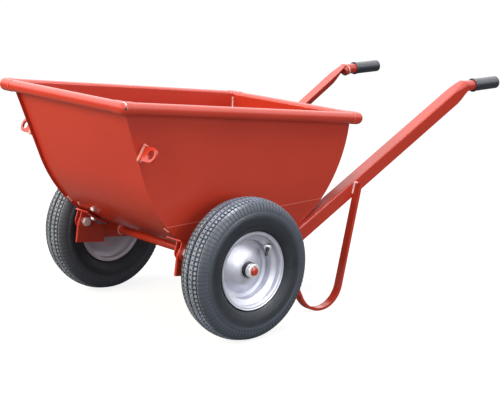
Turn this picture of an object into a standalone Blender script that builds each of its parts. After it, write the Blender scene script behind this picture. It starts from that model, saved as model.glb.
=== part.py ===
"""Tipping garden cart: a sheet-steel trough that tips forward on a two-wheeled frame.

Metres, +Z up. The front (tipping) end faces -Y, the handles point to +Y and left is +X.
Everything is laid out from the wheel axle, which is at y = 0, and the whole cart is then
shifted along Y so that the origin is on the ground under the middle of its length.
"""

import math

import bmesh
import bpy
from mathutils import Matrix, Vector

# Clearances and fineness
SEAT_GAP = 0.0003
RUNNING_GAP = 0.0010
WHEEL_STEPS = 32
TURN_STEPS = 20
TUBE_BEVEL = 4
BEND_STEPS = 6
ARC_STEP = math.radians(8)
SMALL_ARC_STEP = math.radians(20)
FINE_ARC_STEP = math.radians(2)

# Wheels
WHEEL_DIAMETER = 0.400
TYRE_WIDTH = 0.100
TRACK = 0.678
TREAD_THICKNESS = 0.011
SIDEWALL = 0.006
CROWN_WIDTH = 0.062
CROWN_DROP = 0.006
FLANK_TURNS = (-1.4, -0.7, 0.0)
SHOULDER_TURNS = (0.5, 1.0, 1.5)
FOOT_SHARE = 0.2
BEAD_WIDTH = 0.011
INNER_TUBE_WALL = 0.002
RIM_SEAT_DIAMETER = 0.203
RIM_FLANGE_HEIGHT = 0.0095
RIM_SEAT_WIDTH = 0.067
RIM_LIP = 0.005
RIM_WELL_WIDTH = 0.026
RIM_WELL_DEPTH = 0.016
RIM_WELL_SLOPE = 0.0056
RIM_SHEET = 0.0025
DISC_FOOT_OFFSET = -0.010
DISC_CROWN_OFFSET = 0.012
DISC_FOOT_SHARE = 0.2
DISC_SHARES = (0.45, 0.7, 1.0)
HUB_DIAMETER = 0.044
HUB_WALL = 0.0045
HUB_OUTER_END = 0.013
HUB_INNER_END = -0.037
BEARING_LENGTH = 0.014
SEAL_WIDTH = 0.012
SEAL_LIP = 0.003
VALVE_DIAMETER = 0.0115
VALVE_LENGTH = 0.063
VALVE_FOOT = 0.023
VALVE_NECK_SHARE = 0.75
VALVE_TIP_SHARE = 0.72
VALVE_STEPS = 12
VALVE_OFFSET = 0.0155
VALVE_TILT = math.radians(32)
VALVE_PLACE = math.radians(51)

# Axle and its rings
AXLE_DIAMETER = 0.025
AXLE_END_REACH = 0.0055
RING_DIAMETER = 0.040
COLLAR_WIDTH = 0.016
SHOULDER_WIDTH = 0.019
CHAMFER = 0.0015

# Tub
SHEET = 0.002
TUB_RADIUS = 0.382
TUB_BACK = 0.085
FRONT_LEAN = math.radians(18.8)
RIM_FRONT_HEIGHT = 0.676
RIM_REAR_HEIGHT = 0.5615
CREASE_HEIGHT = 0.330
TUB_INSET = 0.0015
SIDE_LEAN = math.radians(3.6)
SIDE_TUCK = math.radians(8.0)
SIDE_LIP_BELOW = 0.004
SIDE_LIP_ENDS = 0.012
RIM_TUBE_DIAMETER = 0.0337
ELBOW_DIAMETER = 0.0365
ELBOW_END_ARM = 0.037
ELBOW_SIDE_ARM = 0.022
ELBOW_STEPS = 8
SHEET_OVER_TUBE = 0.010

# Lifting lugs
LUG_THICKNESS = 0.006
LUG_REACH = 0.065
LUG_HEIGHT = 0.042
LUG_HOLE = 0.025
LUG_BACK_LEAN = math.radians(28)
LUG_Y = -0.288
LUG_HEIGHT_ABOVE_GROUND = 0.548

# Tipping hinge
PIVOT_Y = -0.140
PIVOT_DROP = 0.022
BOLT_DIAMETER = 0.016
BOLT_HEAD_FLATS = 0.024
BOLT_HEAD_HEIGHT = 0.010
NUT_HEIGHT = 0.013
BOLT_TAIL = 0.004
HOLE_CLEARANCE = 0.0005
EAR_THICKNESS = 0.004
EAR_RADIUS = 0.0225
EAR_ROOT_SHARE = 0.8
EAR_TURN = math.radians(81)
EAR_SPACE_INNER = 0.0030
EAR_SPACE_OUTER = 0.0012
SADDLE_THICKNESS = 0.004
SADDLE_HALF_LENGTH = 0.036
SADDLE_INBOARD = 0.040
PLATE_THICKNESS = 0.008
PLATE_EYE_RADIUS = 0.0165
PLATE_EYE_FROM = math.radians(50)
PLATE_EYE_TO = math.radians(160)
PLATE_FRONT_REACH = 0.020
PLATE_DEPTH = 0.065
PLATE_LENGTH = 0.098
PLATE_BACK_HEIGHT = 0.042

# Handle rails
REST_TILT = math.radians(8)
RAIL_FLANGE = 0.040
RAIL_THICKNESS = 0.004
RAIL_CORNER = 0.005
RAIL_RISE = math.radians(29)
RAIL_OVER_AXLE = 0.0185
TYRE_ROOM = 0.037
RAIL_TOE_OUT = math.radians(2.76)
RAIL_FRONT_END = -0.105
RAIL_REAR_END = 0.950
RAIL_FORMED_LENGTH = 0.070
FORMED_CORNER = 0.016
FORMED_SIDE = 0.029
FORMED_TOP = 0.025
RAIL_STATIONS = 9

# Grips
PIPE_DIAMETER = 0.0337
PIPE_LAP = 0.016
PIPE_BEND_RADIUS = 0.034
GRIP_START = 0.9955
GRIP_LENGTH = 0.111
GRIP_DIAMETER = 0.039
GRIP_FLANGE_DIAMETER = 0.043
GRIP_FLANGE_WIDTH = 0.005
GRIP_END_WALL = 0.005
GRIP_NUB = 0.006

# Stand loops and the tie between the rails
STAND_BAR_WIDTH = 0.025
STAND_BAR_THICKNESS = 0.008
STAND_RADIUS = 0.075
STAND_Y = 0.339
STAND_REAR_LEAN = math.radians(14)
STAND_FRONT_LEAN = math.radians(26)
STAND_REAR_HEIGHT = 0.362
STAND_FRONT_HEIGHT = 0.198
TIE_DIAMETER = 0.0269
TIE_Y = 0.225

# Places that follow from the sizes above
AXLE_Z = WHEEL_DIAMETER / 2
AXLE_RADIUS = AXLE_DIAMETER / 2
RAIL_HALF_SPACING = TRACK / 2 - TYRE_WIDTH / 2 - TYRE_ROOM
TUB_HALF_WIDTH = RAIL_HALF_SPACING - TUB_INSET
TUB_CENTRE_Y = TUB_BACK
TUB_CENTRE_Z = AXLE_Z + math.sqrt((TUB_RADIUS + AXLE_RADIUS + SEAT_GAP) ** 2 - TUB_BACK**2)
WRAP_CENTRE_Z = TUB_CENTRE_Z - (SIDE_LIP_ENDS - SIDE_LIP_BELOW)
PANEL_BEND = (TUB_RADIUS, TUB_CENTRE_Z)
WRAP_BEND = (TUB_RADIUS - SIDE_LIP_ENDS, WRAP_CENTRE_Z)
RIM_RADIUS = RIM_TUBE_DIAMETER / 2
RIM_OUTSET = max(ELBOW_DIAMETER, RIM_TUBE_DIAMETER) / 2 + 2 * SEAT_GAP
PIVOT_Z = TUB_CENTRE_Z - math.sqrt((TUB_RADIUS + PIVOT_DROP) ** 2 - (PIVOT_Y - TUB_CENTRE_Y) ** 2)
RIM_SEAT_RADIUS = RIM_SEAT_DIAMETER / 2
RIM_WELL_RADIUS = RIM_SEAT_RADIUS - RIM_WELL_DEPTH
RIM_FLANGE_RADIUS = RIM_SEAT_RADIUS + RIM_FLANGE_HEIGHT
HUB_RADIUS = HUB_DIAMETER / 2
PIPE_OFFSET = RAIL_THICKNESS + SEAT_GAP + PIPE_DIAMETER / 2
OUTER_HUB_FACE = HUB_OUTER_END + SEAL_WIDTH
INNER_HUB_FACE = HUB_INNER_END - SEAL_WIDTH

# Colours as linear RGB, roughness and metallic value
FINISHES = {
    "red_paint": ((0.42, 0.035, 0.025), 0.32, 0.0),
    "zinc_steel": ((0.62, 0.63, 0.66), 0.28, 1.0),
    "tyre_rubber": ((0.022, 0.024, 0.028), 0.75, 0.0),
    "grip_rubber": ((0.020, 0.022, 0.026), 0.55, 0.0),
    "black_plastic": ((0.018, 0.018, 0.020), 0.45, 0.0),
    "bearing_steel": ((0.50, 0.50, 0.52), 0.25, 1.0),
}

# The pieces that aren't painted, by the start of their names
FINISH_OF = {
    "tyre": "tyre_rubber",
    "inner_tube": "tyre_rubber",
    "hand_grip": "grip_rubber",
    "hub_seal": "black_plastic",
    "valve": "black_plastic",
    "bearing": "bearing_steel",
    "wheel": "zinc_steel",
    "hub_tube": "zinc_steel",
    "set_collar": "zinc_steel",
    "pivot_bolt": "zinc_steel",
    "pivot_nut": "zinc_steel",
}


def clear_scene():
    for obj in list(bpy.data.objects):
        bpy.data.objects.remove(obj, do_unlink=True)


def make_collection(name):
    collection = bpy.data.collections.new(name)
    bpy.context.scene.collection.children.link(collection)
    return collection


def make_material(name):
    colour, roughness, metallic = FINISHES[name]
    material = bpy.data.materials.new(name)
    material.use_nodes = True
    shader = material.node_tree.nodes["Principled BSDF"]
    shader.inputs["Base Color"].default_value = (*colour, 1.0)
    shader.inputs["Roughness"].default_value = roughness
    shader.inputs["Metallic"].default_value = metallic
    material.diffuse_color = (*colour, 1.0)
    return material


def add_object(name, data):
    obj = bpy.data.objects.new(name, data)
    PARTS.objects.link(obj)
    return obj


def shade_round(mesh):
    mesh.shade_smooth()
    mesh.set_sharp_from_angle(angle=math.radians(35))


def mesh_from(bm, name, recalculate=False):
    if recalculate:
        bmesh.ops.recalc_face_normals(bm, faces=bm.faces)
    mesh = bpy.data.meshes.new(name)
    bm.to_mesh(mesh)
    bm.free()
    return mesh


def evaluated_mesh(obj):
    """The object's mesh with its modifiers and bevel applied, its caps welded, in its own axes."""
    bpy.context.view_layer.update()
    graph = bpy.context.evaluated_depsgraph_get()
    mesh = bpy.data.meshes.new_from_object(obj.evaluated_get(graph))
    bm = bmesh.new()
    bm.from_mesh(mesh)
    bmesh.ops.remove_doubles(bm, verts=bm.verts, dist=1e-6)
    bm.to_mesh(mesh)
    bm.free()
    return mesh


def settled(obj):
    """Replaces an object by its finished mesh, with its place put into the mesh."""
    name = obj.name
    collection = obj.users_collection[0]
    mesh = evaluated_mesh(obj)
    mesh.transform(obj.matrix_world)
    if obj.matrix_world.determinant() < 0:
        mesh.flip_normals()
    bpy.data.objects.remove(obj, do_unlink=True)
    mesh.name = name
    new = bpy.data.objects.new(name, mesh)
    collection.objects.link(new)
    return new


def mirrored(obj, name):
    """The same piece on the right-hand side."""
    mesh = evaluated_mesh(obj)
    mesh.transform(obj.matrix_world)
    mesh.transform(Matrix.Scale(-1, 4, (1, 0, 0)))
    mesh.flip_normals()
    mesh.name = name
    copy = bpy.data.objects.new(name, mesh)
    PARTS.objects.link(copy)
    return copy


def cut(obj, cutter, operation="DIFFERENCE"):
    modifier = obj.modifiers.new(operation.title(), "BOOLEAN")
    modifier.operation = operation
    modifier.object = cutter
    modifier.solver = "EXACT"


def as_cutter(obj):
    for collection in list(obj.users_collection):
        collection.objects.unlink(obj)
    CUTTERS.objects.link(obj)
    obj.hide_render = True
    obj.display_type = "WIRE"
    return obj


def arc(centre, radius, start, end, step=ARC_STEP):
    """Points on an arc in a plane, both ends included."""
    steps = max(2, math.ceil(abs(end - start) / step))
    angles = [start + (end - start) * i / steps for i in range(steps + 1)]
    return [(centre[0] + radius * math.cos(a), centre[1] + radius * math.sin(a)) for a in angles]


def offset_path(points, distance):
    """An open path moved to its left by a distance, with mitred corners."""
    moved = []
    for i, point in enumerate(points):
        before = Vector(points[max(i - 1, 0)])
        here = Vector(point)
        after = Vector(points[min(i + 1, len(points) - 1)])
        first = (here - before) if i else (after - here)
        last = (after - here) if i < len(points) - 1 else first
        n1 = Vector((-first.y, first.x)).normalized()
        n2 = Vector((-last.y, last.x)).normalized()
        mitre = (n1 + n2).normalized()
        moved.append(tuple(here + mitre * (distance / mitre.dot(n1))))
    return moved


def thickened(points, thickness):
    """A closed outline: the path, and the same path moved to its left, back again."""
    return list(points) + offset_path(points, thickness)[::-1]


def plate(name, outline, x_low, x_high, holes=()):
    """A flat piece, outlined in the YZ plane and as thick as the span along X."""
    curve = bpy.data.curves.new(name, "CURVE")
    curve.dimensions = "2D"
    curve.fill_mode = "BOTH"
    curve.extrude = (x_high - x_low) / 2
    for loop in (outline, *holes):
        spline = curve.splines.new("POLY")
        spline.points.add(len(loop) - 1)
        for point, (y, z) in zip(spline.points, loop):
            point.co = (y, z, 0, 1)
        spline.use_cyclic_u = True
    obj = add_object(name, curve)
    obj.rotation_euler = (math.pi / 2, 0, math.pi / 2)
    middle = (x_low + x_high) / 2
    obj.location.x = middle
    piece = settled(obj)
    for vertex in piece.data.vertices:
        vertex.co.x = x_high if vertex.co.x > middle else x_low
    piece.data.shade_flat()
    return piece


def circle(centre, radius, steps=TURN_STEPS):
    turn = [2 * math.pi * i / steps for i in range(steps)]
    return [(centre[0] + radius * math.cos(a), centre[1] + radius * math.sin(a)) for a in turn]


def turned(name, profile, steps=TURN_STEPS):
    """A ring about the X axis. Its closed profile gives (place along X, radius)."""
    area = sum(a[1] * b[0] - b[1] * a[0] for a, b in zip(profile, profile[1:] + profile[:1]))
    if area > 0:
        profile = profile[::-1]
    bm = bmesh.new()
    verts = [bm.verts.new((radius, 0, along)) for along, radius in profile]
    for first, second in zip(verts, verts[1:] + verts[:1]):
        bm.edges.new((first, second))
    obj = add_object(name, mesh_from(bm, name))
    screw = obj.modifiers.new("Turn", "SCREW")
    screw.axis = "Z"
    screw.steps = steps
    screw.render_steps = steps
    screw.use_merge_vertices = True
    screw.merge_threshold = 1e-5
    screw.use_smooth_shade = True
    obj.rotation_euler = (0, math.pi / 2, 0)
    new = settled(obj)
    shade_round(new.data)
    return new


def solid_turned(name, profile, steps=TURN_STEPS):
    """A turned piece without a bore: an open profile of (place along X, radius), closed on the axis."""
    bm = bmesh.new()
    verts = [bm.verts.new((radius, 0, along)) for along, radius in profile]
    for first, second in zip(verts, verts[1:]):
        bm.edges.new((first, second))
    bmesh.ops.spin(
        bm,
        geom=bm.verts[:] + bm.edges[:],
        axis=(0, 0, 1),
        cent=(0, 0, 0),
        steps=steps,
        angle=2 * math.pi,
        use_merge=True,
    )
    bmesh.ops.remove_doubles(bm, verts=bm.verts, dist=1e-6)
    mesh = mesh_from(bm, name, recalculate=True)
    mesh.transform(Matrix.Rotation(math.pi / 2, 4, "Y"))
    shade_round(mesh)
    return add_object(name, mesh)


def tube(name, points, radius):
    """A round tube or bar along a route, closed at its ends."""
    curve = bpy.data.curves.new(name, "CURVE")
    curve.dimensions = "3D"
    curve.bevel_depth = radius
    curve.bevel_resolution = TUBE_BEVEL
    curve.use_fill_caps = True
    spline = curve.splines.new("POLY")
    spline.points.add(len(points) - 1)
    for point, place in zip(spline.points, points):
        point.co = (*place, 1)
    new = settled(add_object(name, curve))
    shade_round(new.data)
    return new


def rounded_corner(before, corner, after, radius, steps=BEND_STEPS):
    """The points of a round bend that takes the place of a corner."""
    a = (Vector(before) - Vector(corner)).normalized()
    b = (Vector(after) - Vector(corner)).normalized()
    half = a.angle(b) / 2
    centre = Vector(corner) + (a + b).normalized() * (radius / math.sin(half))
    start = Vector(corner) + a * (radius / math.tan(half)) - centre
    end = Vector(corner) + b * (radius / math.tan(half)) - centre
    turn = start.angle(end)
    axis = start.cross(end).normalized()
    return [centre + Matrix.Rotation(turn * i / steps, 3, axis) @ start for i in range(steps + 1)]


def side_reach(z):
    """How far out the tub's side panel stands at a height."""
    if z >= CREASE_HEIGHT:
        return TUB_HALF_WIDTH + (z - CREASE_HEIGHT) * math.tan(SIDE_LEAN)
    return TUB_HALF_WIDTH - (CREASE_HEIGHT - z) * math.tan(SIDE_TUCK)


def front_line_point(bend, z):
    """The point at a height on the straight front that runs on from a bend (radius, centre height)."""
    radius, centre_z = bend
    y0 = TUB_CENTRE_Y - radius * math.cos(FRONT_LEAN)
    z0 = centre_z - radius * math.sin(FRONT_LEAN)
    return (y0 - (z - z0) * math.tan(FRONT_LEAN), z)


def tub_section(bend, front_top, rear_top):
    """The tub's outside from the top of its straight front, under it, to the top of its rear."""
    radius, centre_z = bend
    rear = math.asin((centre_z - rear_top) / radius)
    round_part = arc((TUB_CENTRE_Y, centre_z), radius, math.pi + FRONT_LEAN, 2 * math.pi - rear)
    return [front_line_point(bend, front_top), *round_part]


def rim_corner(front):
    """Where the centre lines of the rim tubes meet on the left side, outside both sheets."""
    if front:
        z = RIM_FRONT_HEIGHT
        y = front_line_point(WRAP_BEND, z)[0] - RIM_OUTSET / math.cos(FRONT_LEAN)
    else:
        z = RIM_REAR_HEIGHT
        radius, centre_z = WRAP_BEND
        y = TUB_CENTRE_Y + math.sqrt((radius + RIM_OUTSET) ** 2 - (centre_z - z) ** 2)
    return Vector((side_reach(z) + RIM_OUTSET / math.cos(SIDE_LEAN), y, z))


def panel_top(y):
    """Height of the side panel's top edge, a little over the middle of the left rim tube."""
    front = rim_corner(True)
    rear = rim_corner(False)
    along = (y - front.y) / (rear.y - front.y)
    return front.lerp(rear, along).z + SHEET_OVER_TUBE


def build_wrap():
    """One bent sheet makes the tub's front, bottom and rear."""
    front_top = RIM_FRONT_HEIGHT + SHEET_OVER_TUBE
    section = tub_section(WRAP_BEND, front_top, RIM_REAR_HEIGHT + SHEET_OVER_TUBE)
    bm = bmesh.new()
    rows = []
    for y, z in section:
        reach = side_reach(z) - SHEET / math.cos(SIDE_LEAN) - SEAT_GAP
        rows.append((bm.verts.new((-reach, y, z)), bm.verts.new((reach, y, z))))
    for (a, b), (c, d) in zip(rows, rows[1:]):
        bm.faces.new((a, c, d, b))
    obj = add_object("tub_wrap_sheet", mesh_from(bm, "tub_wrap_sheet"))
    add_sheet_thickness(obj)
    return obj


def add_sheet_thickness(obj):
    solidify = obj.modifiers.new("Sheet", "SOLIDIFY")
    solidify.thickness = SHEET
    solidify.offset = -1
    solidify.use_even_offset = True


def build_side_panel():
    """A flat side, cut to the tub's section with a small lip, and folded in below its crease."""
    front_y = front_line_point(PANEL_BEND, RIM_FRONT_HEIGHT)[0]
    rear_y = TUB_CENTRE_Y + TUB_RADIUS
    outline = tub_section(PANEL_BEND, panel_top(front_y), panel_top(rear_y))
    upper_front = [p for p in outline if p[1] > CREASE_HEIGHT and p[0] < TUB_CENTRE_Y]
    lower = [p for p in outline if p[1] <= CREASE_HEIGHT]
    upper_rear = [p for p in outline if p[1] > CREASE_HEIGHT and p[0] > TUB_CENTRE_Y]
    half_chord = math.sqrt(TUB_RADIUS**2 - (TUB_CENTRE_Z - CREASE_HEIGHT) ** 2)
    crease_front = (TUB_CENTRE_Y - half_chord, CREASE_HEIGHT)
    crease_rear = (TUB_CENTRE_Y + half_chord, CREASE_HEIGHT)
    bm = bmesh.new()
    fold = [bm.verts.new((side_reach(z), y, z)) for y, z in (crease_front, crease_rear)]
    low = [bm.verts.new((side_reach(z), y, z)) for y, z in lower]
    front = [bm.verts.new((side_reach(z), y, z)) for y, z in upper_front]
    rear = [bm.verts.new((side_reach(z), y, z)) for y, z in upper_rear]
    bm.faces.new([fold[0], *low, fold[1]])
    bm.faces.new([*front, fold[0], fold[1], *rear])
    obj = add_object("side_panel_left", mesh_from(bm, "side_panel_left"))
    add_sheet_thickness(obj)
    return obj


def elbow(name, front, radius):
    """A corner piece: two short sleeves that meet in a tight round, mitred on its inside."""
    corner = rim_corner(front)
    across = Vector((1, 0, 0))
    along = (rim_corner(not front) - corner).normalized()
    axis = across.cross(along).normalized()
    turn = across.angle(along)
    outward = across.cross(axis)
    start = corner - across * ELBOW_END_ARM
    end = corner + along * ELBOW_SIDE_ARM
    bends = [turn * i / ELBOW_STEPS for i in range(ELBOW_STEPS + 1)]
    bm = bmesh.new()
    rings = [[] for _ in range(ELBOW_STEPS + 3)]
    for out, up in circle((0, 0), radius):
        rise = axis * up
        rings[0].append(start + outward * out + rise)
        mitre = corner + (outward + across * math.tan(turn / 2)) * out + rise
        for ring, bend in zip(rings[1:-1], bends):
            swung = corner + Matrix.Rotation(bend, 3, axis) @ outward * out + rise
            ring.append(mitre if out < 0 else swung)
        rings[-1].append(end + Matrix.Rotation(turn, 3, axis) @ outward * out + rise)
    rows = [[bm.verts.new(place) for place in ring] for ring in rings]
    for first, second in zip(rows, rows[1:]):
        for i, vert in enumerate(first):
            after = (i + 1) % len(first)
            bm.faces.new((vert, first[after], second[after], second[i]))
    bm.faces.new(rows[0])
    bm.faces.new(rows[-1][::-1])
    bmesh.ops.remove_doubles(bm, verts=bm.verts, dist=1e-6)
    mesh = mesh_from(bm, name, recalculate=True)
    shade_round(mesh)
    return add_object(name, mesh)


def build_rim():
    """Four straight tubes joined by slightly larger elbows at the corners."""
    pieces = []
    for front, word in ((True, "front"), (False, "rear")):
        piece = elbow(f"rim_elbow_{word}_left", front, ELBOW_DIAMETER / 2)
        pieces += [piece, mirrored(piece, f"rim_elbow_{word}_right")]
        end = rim_corner(front) - Vector((ELBOW_END_ARM + SEAT_GAP, 0, 0))
        start = Vector((-end.x, end.y, end.z))
        pieces.append(tube(f"rim_tube_{word}", [start, end], RIM_RADIUS))
    front, rear = rim_corner(True), rim_corner(False)
    run = (rear - front).normalized() * (ELBOW_SIDE_ARM + SEAT_GAP)
    left = tube("rim_tube_left", [front + run, rear - run], RIM_RADIUS)
    pieces += [left, mirrored(left, "rim_tube_right")]
    return pieces


def clear_of_elbows(sheets):
    """The sheets' corners make room for the elbows."""
    for front, word in ((True, "front"), (False, "rear")):
        cutter = elbow(f"elbow_room_{word}_left", front, ELBOW_DIAMETER / 2 + SEAT_GAP)
        other = mirrored(cutter, f"elbow_room_{word}_right")
        for obj in sheets:
            cut(obj, as_cutter(cutter))
            cut(obj, as_cutter(other))


def build_lug():
    """A lifting lug that stands out square from the side panel."""
    lean = Vector((math.sin(LUG_BACK_LEAN), math.cos(LUG_BACK_LEAN)))
    centre = Vector((LUG_Y, LUG_HEIGHT_ABOVE_GROUND))
    half = LUG_HEIGHT / 2
    reach = side_reach(centre.y)
    slope = math.tan(SIDE_LEAN) * lean.y
    tip = (reach + LUG_REACH - half, 0)
    outline = arc(tip, half, -math.pi / 2, math.pi / 2, SMALL_ARC_STEP)
    foot_gap = SEAT_GAP / math.cos(SIDE_LEAN) + LUG_THICKNESS / 2 * math.tan(SIDE_LEAN)
    outline += [(reach + slope * half + foot_gap, half), (reach - slope * half + foot_gap, -half)]
    curve = bpy.data.curves.new("lifting_lug_left", "CURVE")
    curve.dimensions = "2D"
    curve.fill_mode = "BOTH"
    curve.extrude = LUG_THICKNESS / 2
    for loop in (outline, circle(tip, LUG_HOLE / 2)):
        spline = curve.splines.new("POLY")
        spline.points.add(len(loop) - 1)
        for point, (x, up) in zip(spline.points, loop):
            point.co = (x, up, 0, 1)
        spline.use_cyclic_u = True
    obj = add_object("lifting_lug_left", curve)
    obj.rotation_euler = (math.pi / 2 - LUG_BACK_LEAN, 0, 0)
    obj.location = (0, centre.x, centre.y)
    return settled(obj)


def ear_spans():
    """The two gaps and two ears of a hinge bracket, as places along X on the left side."""
    plate_outer = RAIL_HALF_SPACING - RAIL_THICKNESS - SEAT_GAP
    plate_inner = plate_outer - PLATE_THICKNESS
    inner = (plate_inner - EAR_SPACE_INNER - EAR_THICKNESS, plate_inner - EAR_SPACE_INNER)
    outer_face = RAIL_HALF_SPACING + EAR_SPACE_OUTER
    outer = (outer_face, outer_face + EAR_THICKNESS)
    return inner, outer, (plate_inner, plate_outer)


def build_hinge_bracket():
    """A saddle bent to the tub's round bottom, with two ears that hold the pivot bolt."""
    centre = (TUB_CENTRE_Y, TUB_CENTRE_Z)
    pivot = (PIVOT_Y, PIVOT_Z)
    middle = math.atan2(PIVOT_Z - TUB_CENTRE_Z, PIVOT_Y - TUB_CENTRE_Y)
    half = SADDLE_HALF_LENGTH / TUB_RADIUS
    top = TUB_RADIUS + SEAT_GAP
    saddle = arc(centre, top, middle - half, middle + half, FINE_ARC_STEP)
    saddle += arc(centre, top + SADDLE_THICKNESS, middle + half, middle - half, FINE_ARC_STEP)
    inner, outer, _ = ear_spans()
    bracket = plate("hinge_bracket_left", saddle, inner[0] - SADDLE_INBOARD, outer[1])
    root = top + SADDLE_THICKNESS / 2
    ear_half = EAR_ROOT_SHARE * half
    ear = arc(centre, root, middle - ear_half, middle + ear_half)
    ear += arc(pivot, EAR_RADIUS, middle + EAR_TURN, middle - EAR_TURN, SMALL_ARC_STEP)
    hole = circle(pivot, BOLT_DIAMETER / 2 + HOLE_CLEARANCE)
    for word, span in (("inner", inner), ("outer", outer)):
        piece = plate(f"ear_{word}", ear, *span, holes=[hole])
        cut(bracket, as_cutter(piece), "UNION")
    return bracket


def build_pivot_plate():
    """The frame's plate that sits between the ears and carries the pivot bolt."""
    down = Vector((-math.sin(REST_TILT), -math.cos(REST_TILT)))
    back = Vector((math.cos(REST_TILT), -math.sin(REST_TILT)))
    pivot = Vector((PIVOT_Y, PIVOT_Z))
    front_low = pivot - back * PLATE_FRONT_REACH + down * PLATE_DEPTH
    front_high = pivot - back * PLATE_FRONT_REACH + down * PLATE_EYE_RADIUS / 2
    rear_low = front_low + back * PLATE_LENGTH
    rear_high = rear_low - down * PLATE_BACK_HEIGHT
    to_slant = pivot + back * 2 * PLATE_EYE_RADIUS
    outline = [tuple(p) for p in (front_high, front_low, rear_low, rear_high, to_slant)]
    outline += arc(tuple(pivot), PLATE_EYE_RADIUS, PLATE_EYE_FROM, PLATE_EYE_TO, SMALL_ARC_STEP)
    _, _, span = ear_spans()
    hole = circle(tuple(pivot), BOLT_DIAMETER / 2 + HOLE_CLEARANCE)
    return plate("pivot_plate_left", outline, *span, holes=[hole])


def build_pivot_bolts():
    """Both bolts go in with their heads towards the left, so the right one is headed inside."""
    inner, outer, _ = ear_spans()
    left = bolt_and_nut("left", outer[1], inner[0])
    return left + bolt_and_nut("right", -inner[0], -outer[1])


def bolt_and_nut(side, head_face, nut_face):
    """A hexagon bolt and its nut, which clamp on the two faces."""
    tail = nut_face - SEAT_GAP - NUT_HEIGHT - BOLT_TAIL
    radius = BOLT_DIAMETER / 2
    in_head = head_face + BOLT_HEAD_HEIGHT / 2
    profile = [
        (tail, 0),
        (tail, radius - CHAMFER),
        (tail + CHAMFER, radius),
        (in_head, radius),
        (in_head, 0),
    ]
    shank = solid_turned(f"shank_{side}", profile)
    shank.location = (0, PIVOT_Y, PIVOT_Z)
    bolt = hex_prism(f"pivot_bolt_{side}", head_face + SEAT_GAP, BOLT_HEAD_HEIGHT)
    cut(bolt, as_cutter(settled(shank)), "UNION")
    nut = hex_prism(f"pivot_nut_{side}", nut_face - SEAT_GAP - NUT_HEIGHT, NUT_HEIGHT)
    bore = circle((PIVOT_Y, PIVOT_Z), radius + SEAT_GAP)
    past = nut_face - 2 * NUT_HEIGHT
    cut(nut, as_cutter(plate(f"nut_bore_{side}", bore, past, nut_face + NUT_HEIGHT)))
    return [bolt, nut]


def hex_prism(name, start, length):
    """A hexagon about the pivot, as wide across its flats as the bolt's head."""
    corners = circle((PIVOT_Y, PIVOT_Z), BOLT_HEAD_FLATS / math.sqrt(3), steps=6)
    return plate(name, corners, start, start + length)


def rail_top(y):
    """Height of the rail's top edge: it bears on the tub's arc behind the bend."""
    slope = math.tan(RAIL_RISE)
    seat = TUB_RADIUS + SEAT_GAP
    y0 = TUB_CENTRE_Y + seat * math.sin(RAIL_RISE)
    z0 = TUB_CENTRE_Z - seat * math.cos(RAIL_RISE)
    return z0 + (y - y0) * slope


def bend_y():
    """Where the rising rail meets its front stretch."""
    front_height = AXLE_Z + RAIL_OVER_AXLE
    return (front_height - rail_top(0)) / (math.tan(RAIL_RISE) + math.tan(REST_TILT))


def rail_reach(y):
    """Place along X of the rail's outer face, which toes out behind the bend."""
    return RAIL_HALF_SPACING + math.tan(RAIL_TOE_OUT) * max(0, y - bend_y())


def angle_section(corner_radius, top, side):
    """The rail's angle section as (inward, down) from its outer top corner."""
    t = RAIL_THICKNESS
    middle = (corner_radius, corner_radius)
    outer = arc(middle, corner_radius, -math.pi / 2, -math.pi, SMALL_ARC_STEP)
    inner = arc(middle, corner_radius - t, math.pi, 1.5 * math.pi, SMALL_ARC_STEP)
    return [(top, 0), *outer, (0, side), (t, side), *inner, (top, t)]


def formed_section(share):
    """Corner radius and flanges of the formed end: the top keeps its width and ends in a round."""
    eased = share * share * (3 - 2 * share)
    corner = RAIL_CORNER + (FORMED_CORNER - RAIL_CORNER) * eased
    top = FORMED_TOP + (RAIL_FLANGE - FORMED_TOP) * math.sqrt(1 - share * share)
    return corner, top, RAIL_FLANGE + (FORMED_SIDE - RAIL_FLANGE) * eased


def build_rail():
    """A steel angle: bent over the axle, straight to the rear, its end formed round the grip pipe."""
    bend = bend_y()
    formed_from = RAIL_REAR_END - RAIL_FORMED_LENGTH * math.cos(RAIL_RISE)
    mitre = (RAIL_RISE - REST_TILT) / 2
    turn = (RAIL_RISE + REST_TILT) / 2
    front_z = rail_top(bend) + (bend - RAIL_FRONT_END) * math.tan(REST_TILT)
    plain = (RAIL_CORNER, RAIL_FLANGE, RAIL_FLANGE)
    stations = [(RAIL_FRONT_END, front_z, -REST_TILT, plain), (bend, rail_top(bend), mitre, plain)]
    for i in range(RAIL_STATIONS):
        share = i / (RAIL_STATIONS - 1)
        y = formed_from + (RAIL_REAR_END - formed_from) * share
        stations.append((y, rail_top(y), RAIL_RISE, formed_section(share)))
    bm = bmesh.new()
    rings = []
    for y, z, angle, section in stations:
        down = Vector((0, math.sin(angle), -math.cos(angle)))
        stretch = 1 / math.cos(turn) if y == bend else 1
        corner = Vector((rail_reach(y), y, z))
        ring = []
        for inward, below in angle_section(*section):
            point = corner + down * below * stretch
            ring.append(bm.verts.new((rail_reach(y) - inward, point.y, point.z)))
        rings.append(ring)
    for first, second in zip(rings, rings[1:]):
        for i, vert in enumerate(first):
            after = (i + 1) % len(first)
            bm.faces.new((vert, first[after], second[after], second[i]))
    bm.faces.new(rings[0])
    bm.faces.new(rings[-1][::-1])
    mesh = mesh_from(bm, "handle_rail_left", recalculate=True)
    rail = add_object("handle_rail_left", mesh)
    shade_round(mesh)
    cut(rail, flange_cutter(bend))
    cut(rail, axle_hole())
    return rail


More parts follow.
